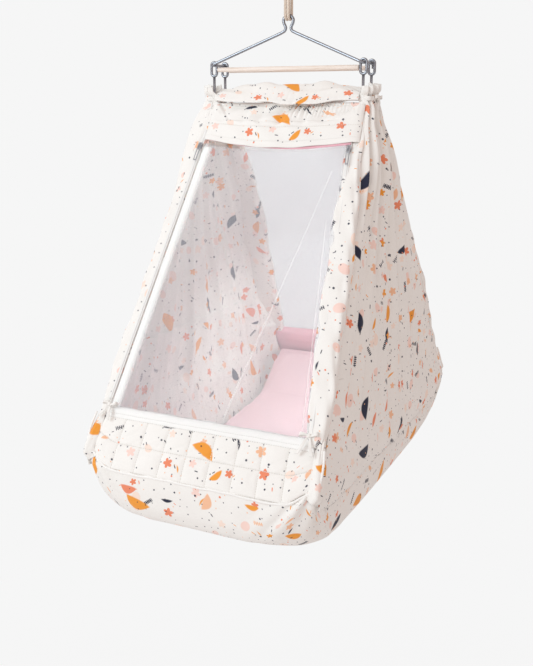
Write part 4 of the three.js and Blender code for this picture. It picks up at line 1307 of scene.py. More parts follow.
def bow(frame: Local, loop: float = 11.0, tail: float = 23.0) -> list[bpy.types.Object]:
    """A small bow of cloth ribbon: two loops, two tails and the knot."""
    share = np.linspace(0, 1, 28)
    parts = []
    for sign in (-1, 1):
        reach = arch(share) ** 0.8
        curve = stack(
            sign * (1.5 + loop * reach),
            1.2 * np.sin(2 * math.pi * share + sign) + 2.0 * reach,
            2.0 + 3.0 * wave(share) + 0.8 * reach,
        )
        wide = stack(0.0, blend(1.3, 3.1, reach), 0.5 * np.sin(3 * math.pi * share))
        parts.append(ribbon("loop", frame, curve, wide))
        lean = 0.35 + 0.12 * sign
        curve = stack(
            sign * (1.0 + tail * share * math.sin(lean)),
            -tail * share * math.cos(lean),
            1.6 + 3.2 * share + 1.1 * np.sin(5.0 * share + sign),
        )
        wide = stack(blend(1.4, 2.6, smooth(2 * share)), 0.0, 0.9 * np.sin(4 * share + sign))
        parts.append(ribbon("tail", frame, curve, wide))
    path = frame.place(stack(0.0, np.linspace(-3.3, 3.3, 20), 1.8))

    def barrel(around: Array, along: Array) -> Array:
        up = along / (6.6 * MM) * 2 - 1
        return MM * (3.2 * np.sqrt(np.clip(1 - 0.75 * up**4, 0.05, 1)) + 0.25 * np.cos(6 * 2 * math.pi * around))

    parts.append(tube_object("knot", path, barrel, 30))
    return parts


@dataclass(frozen=True)
class SleeveFit:
    """How a sleeve lies on its leg: its place and size in millimetres, and how strong its folds are."""

    shift: float
    half_width: float
    fullness: float
    top_depth: float = 8.2
    foot: float = 1.0
    wrinkling: float = 1.0
    inner_growth: float = 0.0


FRONT_LEFT_FIT = SleeveFit(1.0, 12.5, 2.6, top_depth=7.4, wrinkling=0.5)
FRONT_RIGHT_FIT = SleeveFit(-5.0, 19.5, 2.6, top_depth=11.6)
REAR_FIT = SleeveFit(-12.0, 18.0, 11.0, foot=0.25, inner_growth=9.0)


@dataclass
class Tent:
    """The printed cloth over the frames: two side panels, four sleeves, two valances with linings, and the roof."""

    finishes: Finishes
    half_width: float = 143.9
    hem: float = 604.0
    hem_rise: float = 17.0
    top: float = 700.0
    valance_layer: float = 13.4
    lining_layer: float = 11.5
    bulge: float = 5.0
    roof_spread: float = 29.6
    roof_seam: float = 607.2
    roof_rise: float = 30.0
    panel_top: float = 633.0
    panel_bulge: float = 29.0
    pleats: int = 9
    sleeve_bottom: float = 84.0
    sleeve_top: float = 688.0
    sleeve_depth: float = 8.2

    def build(self) -> None:
        """Makes every piece of the tent."""
        for side in Side:
            self.panel(side)
            self.top_tie(side)
        for end in End:
            self.valance(end)
            self.valance_lining(end)
            for side in Side:
                self.sleeve(end, side)
        self.roof()

    def panel(self, side: Side) -> None:
        """A side panel: pleats that fan out from the tie at its top and run out at the tub's seam."""
        u, v = grid(260, 170)
        row = np.interp(v, [0, 0.25, 0.85, 1], [0, 0.12, 0.88, 1])
        half_span = self._half_span(blend(self.panel_top, -33.0, row))
        y = side.value * blend(half_span, -half_span, u)
        z = blend(self.panel_top, seam_height(y), row)
        out = self.stands(side, u, z) + 0.9 * plait(u, 44, 0.9 * side.value + 1, z - seam_height(y), 16) * arch(u)
        ruffle = smooth((z - 613) / 14)
        out = out - 3.2 * mound(z, 610, 9.0)
        out = out + ruffle * (3.5 + 3.2 * wave(3.4 * u + 0.2) + 1.2 * wave(8.1 * u))
        y = y * (1 + 0.22 * ruffle)
        z = z + ruffle * (3.0 * wave(2.3 * u + 0.6) + 1.5 * wave(5.7 * u))
        points = PLAN.row(stack(side.value * out, y, z))
        piece = Cloth(f"{side.label}_side_cloth", points, 1.0 * MM).build()
        dress(piece, self.finishes.print_cloth, "print_cloth", "cradle", f"{side.label}_side_panel")
        f"{side.label}_frame_rods"

    def stands(self, side: Side, u: Array, z: Array) -> Array:
        """How far a side panel stands from the cradle's middle plane.

        Args:
            side: Which side.
            u: Share along the panel, from 0 to 1.
            z: Height.

        Returns:
            Distances in millimetres.
        """
        high = np.maximum(z, 0)
        across = arch(u)
        inner = np.minimum(1, across * self.pleats)
        phase = 0.9 * side.value
        bulge = self.panel_bulge * np.sin(math.pi / 2 * np.minimum(high / 500, 1)) ** 2
        bulge = bulge * (1 - smooth((high - 500) / (self.panel_top - 500))) * across**0.28
        edge = np.where(z > 0, blend(10.8, 9.5, smooth(high / self.panel_top)), blend(10.8, 5.0, smooth(z / -33.0)))
        front = u if side is Side.RIGHT else 1 - u
        folds = self._pleats(front, z, phase) * inner * (1.0 if side is Side.RIGHT else 1.25)
        folds = folds + 1.0 * plait(u, 27, phase, 610 - z, 60) * inner
        folds = folds + self._creases(u, z, phase) * np.minimum(1, across * 6)
        folds = folds - 6.5 * smooth((z - 230) / 200) * fade(from_edge(u), 0.05)
        folds = folds - 6.0 * (1 - smooth((z - 120) / 150)) * fade(front, 0.07)
        if side is Side.LEFT:
            folds = folds + 5.0 * mound(z, 575, 30) * inner
        else:
            folds = folds - 6.5 * (smooth((z - 230) / 120) - smooth((z - 560) / 40)) * inner
        base = PLAN.top_width / 2 + (PLAN.width - PLAN.top_width) / 2 * np.maximum(0, 1 - high / PLAN.leg_bend)
        return base + edge + bulge + folds

    @staticmethod
    def _pleats(front: Array, z: Array, phase: float) -> Array:
        """Pleats that start as a few deep folds under the tie and part into more and shallower ones below.

        Args:
            front: Share along the panel towards its front edge.
            z: Height.
            phase: Shift of the pleats.

        Returns:
            Height of the cloth in millimetres.
        """
        total = np.zeros_like(front)
        for count, crowding, depth, low, high, reach in (
            (3.6, 2.0, 8.5, 440, 640, 80),
            (6.2, 1.5, 7.5, 290, 560, 110),
            (8.3, 1.0, 5.6, 60, 410, 130),
            (12.6, 1.0, 2.0, -40, 330, 120),
        ):
            shown = smooth((z - low + reach / 2) / reach) * (1 - smooth((z - high) / reach))
            ridge = np.clip((uneven_folds(front**crowding, count, phase + count) + 1.3) / 2.6, 0, 1)
            total = total + depth * shown * (2.1 * ridge**0.55 - 1.25)
        return total

    @staticmethod
    def _creases(u: Array, z: Array, phase: float) -> Array:
        """Slack creases that hang between the pleats."""
        slant = wave(3.1 * u + z / 310 + phase) * arch(u)
        small = wave(7.3 * u - z / 120 + phase * 2) * wave(z / 170 + u)
        return 1.3 * slant + 0.55 * small

    def _half_span(self, height: Array) -> Array:
        """Half the distance between a panel's edges at a height."""
        rise = np.clip(PLAN.leg_bend - height, 0, PLAN.leg_bend)
        behind = blend(8.0, -5.5, smooth((height - 440) / 130))
        return PLAN.leg_spacing / 2 + PLAN.leg_run * rise / PLAN.leg_bend - behind

    def top_tie(self, side: Side) -> None:
        """The band that gathers a panel's top round the two legs, with its bow."""
        turn = circle(96)
        x = 155.9 + 10.6 * squared_off(np.cos(turn), 0.5)
        y = 26.3 * squared_off(np.sin(turn), 0.5)
        rows = np.linspace(0, 1, 8)[:, None]
        wrinkle = 0.35 * np.sin(9 * turn + 7 * rows) + 0.5 * arch(rows)
        z = 606.5 + 8 * rows + 0.6 * np.sin(2 * turn)
        ring = stack(side.value * (x + wrinkle * np.cos(turn)), side.value * (y + wrinkle * np.sin(turn)), z)
        band = Cloth("band", PLAN.row(ring), 1.2 * MM, round_columns=True).build()
        frame = Local(
            np.array([side.value * 168.0, 0.0, 610.5]),
            np.array([0.0, side.value * 1.0, 0.0]),
            np.array([0.0, 0.0, 1.0]),
            np.array([side.value * 1.0, 0.0, 0.0]),
        )
        piece = joined(f"{side.label}_top_ribbon", [band, *bow(frame, 12.0, 26.0)])
        dress(piece, self.finishes.print_cloth, "print_cloth", "cradle", f"{side.label}_top_tie")

    def sleeve(self, end: End, side: Side) -> None:
        """The cloth sleeve over a sloping leg, gathered at its top."""
        fit = REAR_FIT if end is End.REAR else FRONT_LEFT_FIT if side is Side.LEFT else FRONT_RIGHT_FIT
        turn = circle(64)[None]
        share = np.linspace(0, 1, 190)[:, None]
        along = blend(self.sleeve_bottom, self.sleeve_top, share)
        foot = fade(along - self.sleeve_bottom, 26) * fit.foot
        narrow = blend(1.0, 0.62, smooth(2 * share - 1)) * (1 - 0.5 * foot)
        half = fit.half_width * narrow + fit.fullness * arch(share)
        phase = end.value * 1.3 + side.value * 0.6
        length = along / 100
        sway = 1.3 * np.sin(2.1 * length + phase) + 0.8 * np.sin(5.3 * length + 2 * phase) - 6.0 * foot
        wrinkle = 1.0 * np.sin(3 * turn + 4.2 * length + phase) + 0.7 * np.sin(5 * turn - 7.1 * length + phase)
        wrinkle = wrinkle + 0.5 * np.sin(2 * turn + 11.3 * length)
        wrinkle = wrinkle + 0.5 * np.sin(9 * turn + phase) * smooth(2.4 * share - 1.4)
        wrinkle = wrinkle + 0.9 * np.sin(7 * turn + 2 * phase) * foot
        inward = fit.inner_growth * mound(along, self.sleeve_bottom, 85)
        half = half + inward / 2
        middle = PLAN.leg_half(along) + fit.shift * narrow - inward / 2 + sway
        across = middle + (half + wrinkle) * squared_off(np.cos(turn), 0.6)
        height = blend(self.sleeve_depth, fit.top_depth, smooth(6 * (1 - share)))
        deep = blend(self.sleeve_depth, height, np.sin(turn) > 0) * narrow + wrinkle * fit.wrinkling
        deep = deep * squared_off(np.sin(turn), 0.6)
        points = PLAN.end_row(end, side.value * across, along, deep)
        if end.value * side.value < 0:
            points = points[:, ::-1]
        step = np.linalg.norm(points - np.roll(points, 1, 1), axis=-1)
        reached = np.cumsum(np.concatenate([0 * step[:, :1], step[:, 1:]], 1), 1)
        flat = stack(reached, np.repeat(along * MM, 64, 1))
        piece = Cloth(f"{end.label}_{side.label}_leg_sleeve", points, 1.0 * MM, flat, round_columns=True).build()
        dress(piece, self.finishes.print_cloth, "print_cloth", "cradle", f"{end.label}_{side.label}_sleeve")
        f"{side.label}_frame_rods"

    def _valance(self, end: End, layer: float, drop: float, columns: int, rows: int) -> tuple[Array, Array, Array]:
        """A valance's shares and its points before folding, as across, along and outwards."""
        u, v = grid(columns, rows)
        across = end.value * blend(self.half_width, -self.half_width, u)
        if end is End.FRONT:
            across = across + blend(17.0, 12.0, v) * smooth((across / self.half_width - 0.55) / 0.45)
            across = across - 3.0 * smooth((-across / self.half_width - 0.55) / 0.45)
        along = blend(self.hem - drop + self.hem_rise * (2 * u - 1) ** 2, self.top, v)
        out = layer + self.bulge * arch(u) * arch(v) ** 2
        return u, v, np.stack([across, along, out])

    def valance(self, end: End) -> None:
        """The printed valance: ruched under the roof, with a flat hem band of two stitched rows."""
        u, v, (across, along, out) = self._valance(end, self.valance_layer, 0.0, 300, 90)
        slack = arch(u) ** 0.6
        band, stitch = 0.42, 0.12
        over = smooth((v - band) / 0.12)
        out = out + 2.6 * uneven_folds(u, 7, 1.1) * slack * over * arch(np.clip(v, 0, 1))
        out = out + 1.5 * uneven_folds(u, 43, 0.3) * slack * over * smooth((v - 0.55) / 0.3) * smooth((u - 0.45) / 0.15)
        out = out + 1.4 * wave(2.3 * u - 3.1 * v + 0.2) * slack * over
        out = out + 2.0 * arch(np.clip(v / band, 0, 1)) ** 0.7 * slack
        out = out + 1.2 * wave(4.3 * u + 1.6 * v) * slack * (1 - over)
        for line, depth in ((stitch, 0.9), (band, 1.5), (0.93, 1.4)):
            out = out - depth * mound(v, line, 0.018) * slack
        out = out - self._gusset(u, v) - 7.0 * fade(from_edge(u), 0.022)
        seams = stack(0.5, steps_through(v, (0, stitch, band, 0.93, 1.1)))
        points = PLAN.end_row(end, across, along, out)
        piece = Cloth(f"{end.label}_valance_cloth", points, 1.4 * MM, seams=seams).build()
        dress(piece, self.finishes.quilted_print, "print_cloth", "cradle", f"{end.label}_valance")
        f"{end.label}_left_leg_sleeve"

    @staticmethod
    def _gusset(u: Array, v: Array) -> Array:
        """How far a valance's middle lies behind the slanting gussets at its ends."""
        side = from_edge(u)
        place = 0.015 + (1 - v) * 0.22
        inside = smooth((side - place) / 0.03) * smooth((v - 0.5) / 0.05)
        return inside * (3.4 + 4.0 * smooth((v - 0.55) / 0.4)) + mound(side, place, 0.01) * (v > 0.5)

    def valance_lining(self, end: End) -> None:
        """The pink lining that shows as a narrow strip under the hem."""
        u, v, (across, along, out) = self._valance(end, self.lining_layer, -0.5, 120, 24)
        along = along - 4.2 * smooth((u - 0.35) / 0.45) * (1 - v)
        across = np.clip(across, -self.half_width * 0.965, self.half_width * 0.965 + 8.0)
        out = out + 0.5 * uneven_folds(u, 8, 1.1) * arch(u) * arch(v)
        out = out - 0.9 * smooth(1.5 * v) - 10.0 * smooth((v - 0.34) / 0.14) - 4.0 * fade(from_edge(u), 0.03)
        piece = Cloth(f"{end.label}_valance_backing", PLAN.end_row(end, across, along, out), 0.7 * MM).build()
        dress(piece, self.finishes.pink, "pink_cloth", "cradle", f"{end.label}_valance_lining")
        f"{end.label}_valance_cloth"

    def roof(self) -> None:
        """The puffed roof between the two valances, gathered into both seams."""
        u, v = grid(260, 110)
        turn = math.pi * v
        crown = self.roof_rise * (1 - 0.35 * (2 * u - 1) ** 4)
        ripple = 3.6 * wave(2.7 * v + 0.25 * np.sin(4.1 * u)) * np.sin(turn)
        near = from_edge(v)
        folds = 1.3 * plait(u, 25, 0.7, near, 0.10) * arch(u) ** 0.5
        folds = folds + 2.6 * wave(2.2 * u + 1.3 * v) * np.sin(turn)
        folds = folds + 1.8 * wave(5.3 * u - 2.1 * v + 0.3) * np.sin(turn) ** 2
        folds = folds - 3.6 * np.abs(arch(2.2 * v + 0.9 * np.sin(2.7 * u + 0.4))) ** 0.5 * np.sin(turn)
        folds = folds + 2.2 * plait(v, 9, 0.2, from_edge(u), 0.07) * np.sin(turn)
        x = blend(-self.half_width, self.half_width, u)
        out = 1 + (folds + ripple) / 30
        hang = arch(u) ** 0.6 * (1 + waves(u, (1.7, 1.0, 0.22), (4.3, 0.2, 0.10)))
        roll = mound(near, 0.07, 0.045) * hang
        y = -self.roof_spread * np.cos(turn) * (1 + folds / 60) - np.sign(0.5 - v) * 13.5 * roll
        z = self.roof_seam + crown * np.sin(turn) * out - 12.0 * roll
        piece = Cloth("roof_cloth", PLAN.row(stack(x, y, z)), 1.2 * MM).build()
        dress(piece, self.finishes.print_cloth, "print_cloth", "cradle", "roof")


def seam_height(y: Array) -> Array:
    """Height of the seam between a side panel and the floor, which rises towards the ends."""
    level = 290.0
    return blend(-33.0, -16.0, smooth((np.abs(y) - level) / (PLAN.tub_half_length - level)))


@dataclass
class Nets:
    """The net door with its two zips, and the fixed rear net."""

    finishes: Finishes
    bottom: float = 95.5
    door_top: float = 600.0
    door_rise: float = 12.0
    rear_top: float = 640.0
    layer: float = 9.1
    edge: float = 6.35
    left_inset: float = 7.0
    right_inset: float = 11.0
    edging_width: float = 22.0
    zip_bottom: float = 107.0
    zip_top: float = 640.0
    slider_at: float = 606.0

    def build(self) -> None:
        """Makes the nets, the zips and their sliders."""
        self.door()
        self.edging()
        self.rear()
        for side in Side:
            self.zip(side)
            self.slider(side)
            self.pull(side)

    def inset(self, side: Side) -> float:
        """Distance from a leg to its zip's middle."""
        return self.left_inset if side is Side.LEFT else self.right_inset

    def door(self) -> None:
        """The net door, which hangs from its lower edge once both sliders are down."""
        u, v = grid(70, 110)
        along = blend(self.bottom, self.door_top + self.door_rise * (2 * u - 1) ** 2, v)
        left = -(PLAN.leg_half(along) - self.left_inset - self.edge)
        right = PLAN.leg_half(along) - self.right_inset - self.edge
        billow = 1.2 * arch(u) * arch(v) * wave(1.3 * u + 0.8 * v)
        points = PLAN.end_row(End.FRONT, blend(left, right, u), along, self.layer + billow)
        piece = Cloth("door_net", points, 0.5 * MM).build()
        dress(piece, self.finishes.front_net, "net", "net_door", "net_door").visible_shadow = False

    def edging(self) -> None:
        """The white cloth that edges the door beside its left zip."""
        u, v = grid(8, 110)
        along = blend(self.bottom, self.door_top + 5, v)
        across = -(PLAN.leg_half(along) - self.left_inset - self.edge - 0.5) + self.edging_width * u
        ripple = 0.5 * np.sin(along / 31.0 + 3 * u) * arch(u)
        points = PLAN.end_row(End.FRONT, across, along, self.layer + 1.0 + ripple)
        piece = Cloth("door_edging", points, 0.7 * MM).build()
        dress(piece, self.finishes.net_hem, "white_binding", "net_door").visible_shadow = False

    def rear(self) -> None:
        """The fixed net in the rear end."""
        u, v = grid(60, 100)
        along = blend(self.bottom - 8.0, self.rear_top, v)
        half = PLAN.leg_half(along) - 17.0
        billow = 1.5 * arch(u) * arch(v) * wave(1.1 * u - 0.7 * v)
        out = blend(self.layer, 10.3, v) - np.abs(billow)
        points = PLAN.end_row(End.REAR, -blend(-half, half, u), along, out)
        piece = Cloth("back_net", points, 0.5 * MM).build()
        dress(piece, self.finishes.back_net, "net", "cradle", "rear_net").visible_shadow = False

    def zip(self, side: Side) -> None:
        """A zip's tape with its coil of teeth, along the line where the door meets the sleeve."""
        rows = np.linspace(0, 1, 150)
        along = blend(self.zip_bottom, self.zip_top, rows)[:, None]
        offset = np.linspace(-3.6, 3.6, 9)[None]
        across = side.value * (PLAN.leg_half(along) - self.inset(side)) + offset
        ripple = 0.25 * np.sin(along / 9.0 + offset) * (np.abs(offset) / 3.6) ** 2
        tape = Cloth("tape", PLAN.end_row(End.FRONT, across, along, self.layer + ripple), 0.9 * MM).build()
        count = 1000
        place = np.linspace(self.zip_bottom, self.zip_top, count)
        line = PLAN.on_end(End.FRONT, side.value * (PLAN.leg_half(place) - self.inset(side)), place, self.layer + 0.9)

        def teeth(around: Array, length: Array) -> Array:
            return MM * (0.8 + 0.26 * wave(length / (2.1 * MM)) * np.abs(np.cos(2 * math.pi * around)))

        coil = tube_object("coil", PLAN.row(line), teeth, 10)
        piece = joined(f"{side.label}_zip_tape", [tape, coil])
        dress(piece, self.finishes.zip_cloth, "white_binding", "cradle", f"{side.label}_zip")

    def _frame(self, side: Side) -> Local:
        """The frame of a slider at rest."""
        return end_frame(End.FRONT, side, self.inset(side), self.slider_at, self.layer)

    def slider(self, side: Side) -> None:
        """A zip slider: two plates joined by a wedge, flanges and a bail."""
        frame = self._frame(side)
        outline = [(-2.9, 6.0), (2.9, 6.0), (4.5, 3.2), (4.5, 0.6), (3.4, -2.2), (3.4, -6.0), (-3.4, -6.0)]
        outline += [(-3.4, -2.2), (-4.5, 0.6), (-4.5, 3.2)]
        base = 0.9
        parts = [plate("upper", frame, outline, base + 2.3, 1.3, 0.3)]
        for sign in (-1, 1):
            flange = [(sign * 2.9, -5.6), (sign * 4.0, -5.6), (sign * 4.2, 2.6), (sign * 3.3, 2.6)]
            parts.append(plate("flange", frame, flange[::sign], base + 0.2, 2.2, 0.2))
        half = [(0, -4.0, base + 3.4), (0, -3.4, base + 5.6)]
        bail = [*half, (0, 0, base + 6.3), *((x, -y, z) for x, y, z in half[::-1])]
        line = frame.place(through(np.array(bail, float), 8))
        parts.append(tube_object("bail", line, 0.55 * MM, 12))
        piece = joined(f"{side.label}_slider_body", parts)
        dress(piece, self.finishes.slider, "steel", f"{side.label}_slider", f"{side.label}_zip_slider")

    def pull(self, side: Side) -> None:
        """The slider's pull: a rounded plate with a slot for the bail."""
        frame = self._frame(side)
        outline = rounded([(-3.7, 0.6), (3.7, 0.6), (3.0, -32.0), (-3.0, -32.0)], 1.6)
        slot = rounded([(-1.9, -0.6), (1.9, -0.6), (1.9, -6.4), (-1.9, -6.4)], 0.7)
        window = rounded([(-2.0, -9.5), (2.0, -9.5), (1.6, -29.6), (-1.6, -29.6)], 1.3)
        piece = joined(f"{side.label}_slider_pull", [plate("pull", frame, outline, 5.0, 1.0, 0.25, slot, window)])
        dress(piece, self.finishes.slider, "steel", f"{side.label}_pull", f"{side.label}_zip_pull")


def rounded(corners: Sequence[tuple[float, float]], radius: float, steps: int = 5) -> list[tuple[float, float]]:
    """A closed outline with its corners rounded."""
    points = []
    count = len(corners)
    for i, here in enumerate(np.asarray(corners, float)):
        before, after = np.asarray(corners[i - 1], float), np.asarray(corners[(i + 1) % count], float)
        start = here + (before - here) / np.linalg.norm(before - here) * radius
        stop = here + (after - here) / np.linalg.norm(after - here) * radius
        points += [tuple(p) for p in rounded_corner(start, here, stop, steps)]
    return points


def plate(
    name: str,
    frame: Local,
    outline: Sequence[tuple[float, float]],
    low: float,
    thickness: float,
    edge: float,
    *holes: Sequence[tuple[float, float]],
) -> bpy.types.Object:
    """A flat plate with broken edges.

    Args:
        name: The plate's name.
        frame: The frame that it lies in, with the outline in X and Y.
        outline: The plate's outline in millimetres.
        low: The lower face's height along Z.
        thickness: The plate's thickness.
        edge: Size of the broken edges.
        holes: Outlines of holes.

    Returns:
        The plate.
    """
    curve = bpy.data.curves.new(name, "CURVE")
    curve.dimensions = "2D"
    curve.fill_mode = "BOTH"
    curve.extrude = thickness / 2 - edge
    curve.bevel_depth = edge
    curve.bevel_resolution = 2
    curve.offset = -edge
    for line in (outline, *holes):
        spline = curve.splines.new("POLY")
        spline.points.add(len(line) - 1)
        for point, (x, y) in zip(spline.points, line):
            point.co = (x, y, 0, 1)
        spline.use_cyclic_u = True
    shape = bpy.data.objects.new(name, curve)
    bpy.context.scene.collection.objects.link(shape)
    bpy.context.view_layer.update()
    solid = shape.evaluated_get(bpy.context.evaluated_depsgraph_get()).to_mesh()
    points = np.array([v.co for v in solid.vertices]) + (0, 0, low + thickness / 2)
    faces = [list(p.vertices) for p in solid.polygons]
    shape.to_mesh_clear()
    bpy.data.objects.remove(shape)
    return mesh_object(name, frame.place(points), faces, points[:, :2] * MM)


@dataclass(frozen=True)
class BowFit:
    """Where a bow sits beside its leg, and its size, in millimetres."""

    out: float
    rise: float
    inside: float
    loop: float
    tail: float


FRONT_LEFT_BOW = BowFit(out=10.0, rise=10.0, inside=11.0, loop=12.0, tail=28.0)
FRONT_RIGHT_BOW = BowFit(out=10.5, rise=13.0, inside=15.0, loop=14.0, tail=34.0)
REAR_BOW = BowFit(out=7.5, rise=4.0, inside=17.0, loop=8.0, tail=13.0)

# Height of the lining's top and of the white binding's top over the rim's own, in millimetres.
LINING_TOPS = {End.FRONT: -7.0, End.REAR: -2.5}
BINDING_TOPS = {End.FRONT: 1.0, End.REAR: -6.5}

# Points of the piping beside a leg: distance outwards from its lower corner, distance up the slope, and layer.
PIPING_STOPS = {
    End.FRONT: ((-2.5, 82.0, 7.6), (1.0, 58.0, 7.4), (1.5, 36.0, 6.4), (0.0, 22.0, 5.0)),
    End.REAR: ((-9.0, 80.0, 6.0), (-6.5, 58.0, 6.4), (-4.5, 36.0, 6.0), (-2.5, 22.0, 4.6)),
}


@dataclass
class Tub:
    """The soft tub: quilted bumpers with linings, white rim bindings, piping, corner covers, ties and the floor."""

    finishes: Finishes
    tent: Tent
    bottom: float = -11.0
    top: float = 78.0
    rim: float = 97.0
    end_gap: float = 4.4
    seam: float = 4.2
    pad: float = 12.0
    cells: int = 9
    tiers: int = 2
    half_width: float = 214.5
    half_length: float = PLAN.tub_half_length
    depth: float = 114.0
    lift: float = 30.0
    lift_reach: float = 55.0
    leg_lean: float = 0.6025
    leg_rise: float = 0.857
    cover_reach: float = 357.0

    def lifted(self, distance: Array) -> Array:
        """How far the seam under an end wall rises towards its corners, at a distance from the corner."""
        return self.lift * (1 - smooth(distance / self.lift_reach))

    def build(self) -> None:
        """Makes every piece of the tub."""
        for end in End:
            self.bumper(end)
            self.lining(end)
            self.binding(end)
            self.piping(end)
            for side in Side:
                self.corner_cover(end, side)
                self.rim_tie(end, side)
        for side in Side:
            self.rail_cover(side)
        self.floor()

    def bumper(self, end: End) -> None:
        """A padded end wall, quilted in cells."""
        u, v = grid(self.cells * 22, self.tiers * 24)
        half = PLAN.leg_half(blend(self.bottom, self.top, v)) - self.end_gap
        along = blend(self.bottom + self.lifted(half * (1 - np.abs(2 * u - 1)) + 8), self.top, v)
        cell = np.abs(arch(self.cells * u))
        tier = np.abs(arch(self.tiers * v))
        puff = (cell * tier) ** 0.42
        rumple = waves(u * 9 + 0.7 * np.sin(5 * v), (1.3, 0.4, 0.45), (2.9, 1.9, 0.3)) * arch(v)
        pucker = 0.45 * wave(61 * u) * mound(tier, 0, 0.25)
        out = 1.5 * arch(v) + 0.5 * rumple
        thick = self.seam + (self.pad - self.seam) * puff + pucker * (v > 0.02) * (v < 0.98) + 0.5 * rumple
        thick = np.maximum(thick, 2.5)
        points = PLAN.end_row(end, end.value * blend(half, -half, u), along, out)
        seams = stack(self.cells * u, self.tiers * v)
        piece = Cloth(f"{end.label}_padded_wall", points, thick * MM, seams=seams).build()
        dress(piece, self.finishes.quilted_print, "print_cloth", "cradle", f"{end.label}_bumper")

    def lining(self, end: End) -> None:
        """The pink lining inside an end wall, rolled over the inside of its rim."""
        u, v = grid(200, 40)
        top = self.rim + LINING_TOPS[end]
        along = blend(-6.4, top + 2.2 * wave(1.6 * u + 0.2) * arch(u), v)
        half = PLAN.leg_half(along) - 7.5
        roll = 3.0 * arch(np.clip((v - 0.62) / 0.38, 0, 1)) ** 0.6
        soft = 0.9 * uneven_folds(u, 7, 0.5) * smooth((v - 0.3) / 0.5) + 0.5 * plait(u, 31, 0.9, 1 - v, 0.14)
        layer = -5.6 - roll - 0.6 * soft * arch(np.clip(v, 0, 1)) + 1.6 * smooth((v - 0.9) / 0.1)
        layer = layer + (0.0 if end is End.FRONT else 8.5) * smooth((v - 0.92) / 0.08)
        points = PLAN.end_row(end, end.value * blend(half, -half, u), along, layer)
        piece = Cloth(f"{end.label}_wall_lining", points, (0.8 + 0.35 * roll) * MM).build()
        dress(piece, self.finishes.pink, "pink_cloth", "cradle", f"{end.label}_bumper_lining")
        f"{end.label}_padded_wall"

    def binding(self, end: End) -> None:
        """The soft white binding along an end wall's rim."""
        u, v = grid(240, 30)
        ripple = 0.5 * waves(u, (4.3, 0.3, 1.0), (9.7, 1.2, 0.6))
        rim = self.rim + BINDING_TOPS[end]
        along = blend(self.top - 2.5, rim + ripple, v)
        half = PLAN.leg_half(along) - 6.2
        fold = 0.35 * wave(47 * u) * mound(v, 0.1, 0.1)
        groove = 1.1 * mound(v, 0.38, 0.07)
        thick = 9.0 * (1 - 0.6 * (2 * v - 1) ** 4) - groove + fold + 0.35 * waves(u, (7.1, 0.9, 1.0), (13.7, 2.2, 0.6))
        thick = thick * (1 - 0.5 * fade(1 - v, 0.05))
        points = PLAN.end_row(end, end.value * blend(half, -half, u), along, 0.4 * ripple)
        seams = stack(0.5, steps_through(v, (0.10, 0.38, 3.0)))
        piece = Cloth(f"{end.label}_rim", points, thick * MM, seams=seams).build()
        dress(piece, self.finishes.white, "white_binding", "cradle", f"{end.label}_rim_binding")

    def piping(self, end: End) -> None:
        """The corded seam round an end: down one corner, along the bottom and up the other."""
        low = -12.5
        edge = PLAN.leg_half(low) + 6.5
        stops = [(edge + shift, along, layer) for shift, along, layer in PIPING_STOPS[end]]
        stops += [(edge - d, low + float(self.lifted(d)), blend(4.2, 1.6, d / 55)) for d in (7, 16, 27, 40, 55)]
        half = [(-across, along, layer) for across, along, layer in stops] + [(-70.0, low, 1.6)]
        whole = half + [(0.0, low, 1.6)] + [(-across, along, layer) for across, along, layer in half[::-1]]
        across, along, layer = np.array(whole).T
        rough = through(PLAN.on_end(end, across, along, layer), 10)
        reached = lengths(rough)
        even = np.linspace(0, reached[-1], 520)
        path = np.stack([np.interp(even, reached, rough[:, k]) for k in range(3)], -1)
        path[:, 2] += 0.45 * np.sin(even / 17.0) + 0.25 * np.sin(even / 6.3)

        def pinched(around: Array, along: Array) -> Array:
            return MM * (1.9 + 0.16 * wave(along / (5.2 * MM)) + 0.14 * np.cos(4 * math.pi * around))

        piece = tube_object(f"{end.label}_corded_seam", PLAN.row(path), pinched, 14)
        dress(piece, self.finishes.piping, "white_binding", "cradle", f"{end.label}_piping")

    def corner_cover(self, end: End, side: Side) -> None:
        """The cloth round a bare leg, from the end wall to the side panel, gathered under the bow."""
        s, v = grid(50, 70)
        foot = blend(6.0, -18.0, s)
        h = blend(foot, 98.0, v)
        lift = np.clip(h / PLAN.leg_bend, 0, 1)
        x = PLAN.width / 2 - (PLAN.width - PLAN.top_width) / 2 * lift
        y = PLAN.length / 2 - PLAN.leg_run * lift
        gather = smooth((h - 40) / 45)
        tuck = blend(1.0, 0.72, gather)
        low = smooth((foot + 15 - h) / 15)
        belly = (5.0 if end is End.FRONT else -1.5) * mound(h, 30, 28) * arch(np.clip(s * 1.2, 0, 1))
        line = through(np.array([(-5.5, 5.6), (2.0, 7.2), (8.6, 6.0), (11.6, -1.0), (11.3, -9.0), (10.6, -17.0)]), 10)
        base = [np.interp(s, np.linspace(0, 1, len(line)), line[:, k]) for k in range(2)]
        ahead = [np.gradient(part, axis=1) for part in base]
        long = np.hypot(*ahead)
        out = (-ahead[1] / long, ahead[0] / long)
        folds = 1.0 * wave(3.1 * s + h / 130 + side.value) * arch(s)
        folds = folds + 0.8 * wave(6.7 * s - h / 90) * arch(s) * gather + belly
        snug = np.where(base[0] > 0, 1.0 if end is End.FRONT else 0.52, 1.0)
        across = base[0] * tuck * snug + out[0] * folds - 9.0 * low
        back = base[1] * tuck + out[1] * folds - 8.0 * low
        points = stack(side.value * (x + across), end.value * (y + back), h)
        if end.value * side.value > 0:
            points = points[:, ::-1]
        piece = Cloth(f"{end.label}_{side.label}_corner_cloth", PLAN.row(points), 0.9 * MM).build()
        dress(piece, self.finishes.print_cloth, "print_cloth", "cradle")
        f"{side.label}_frame_rods"

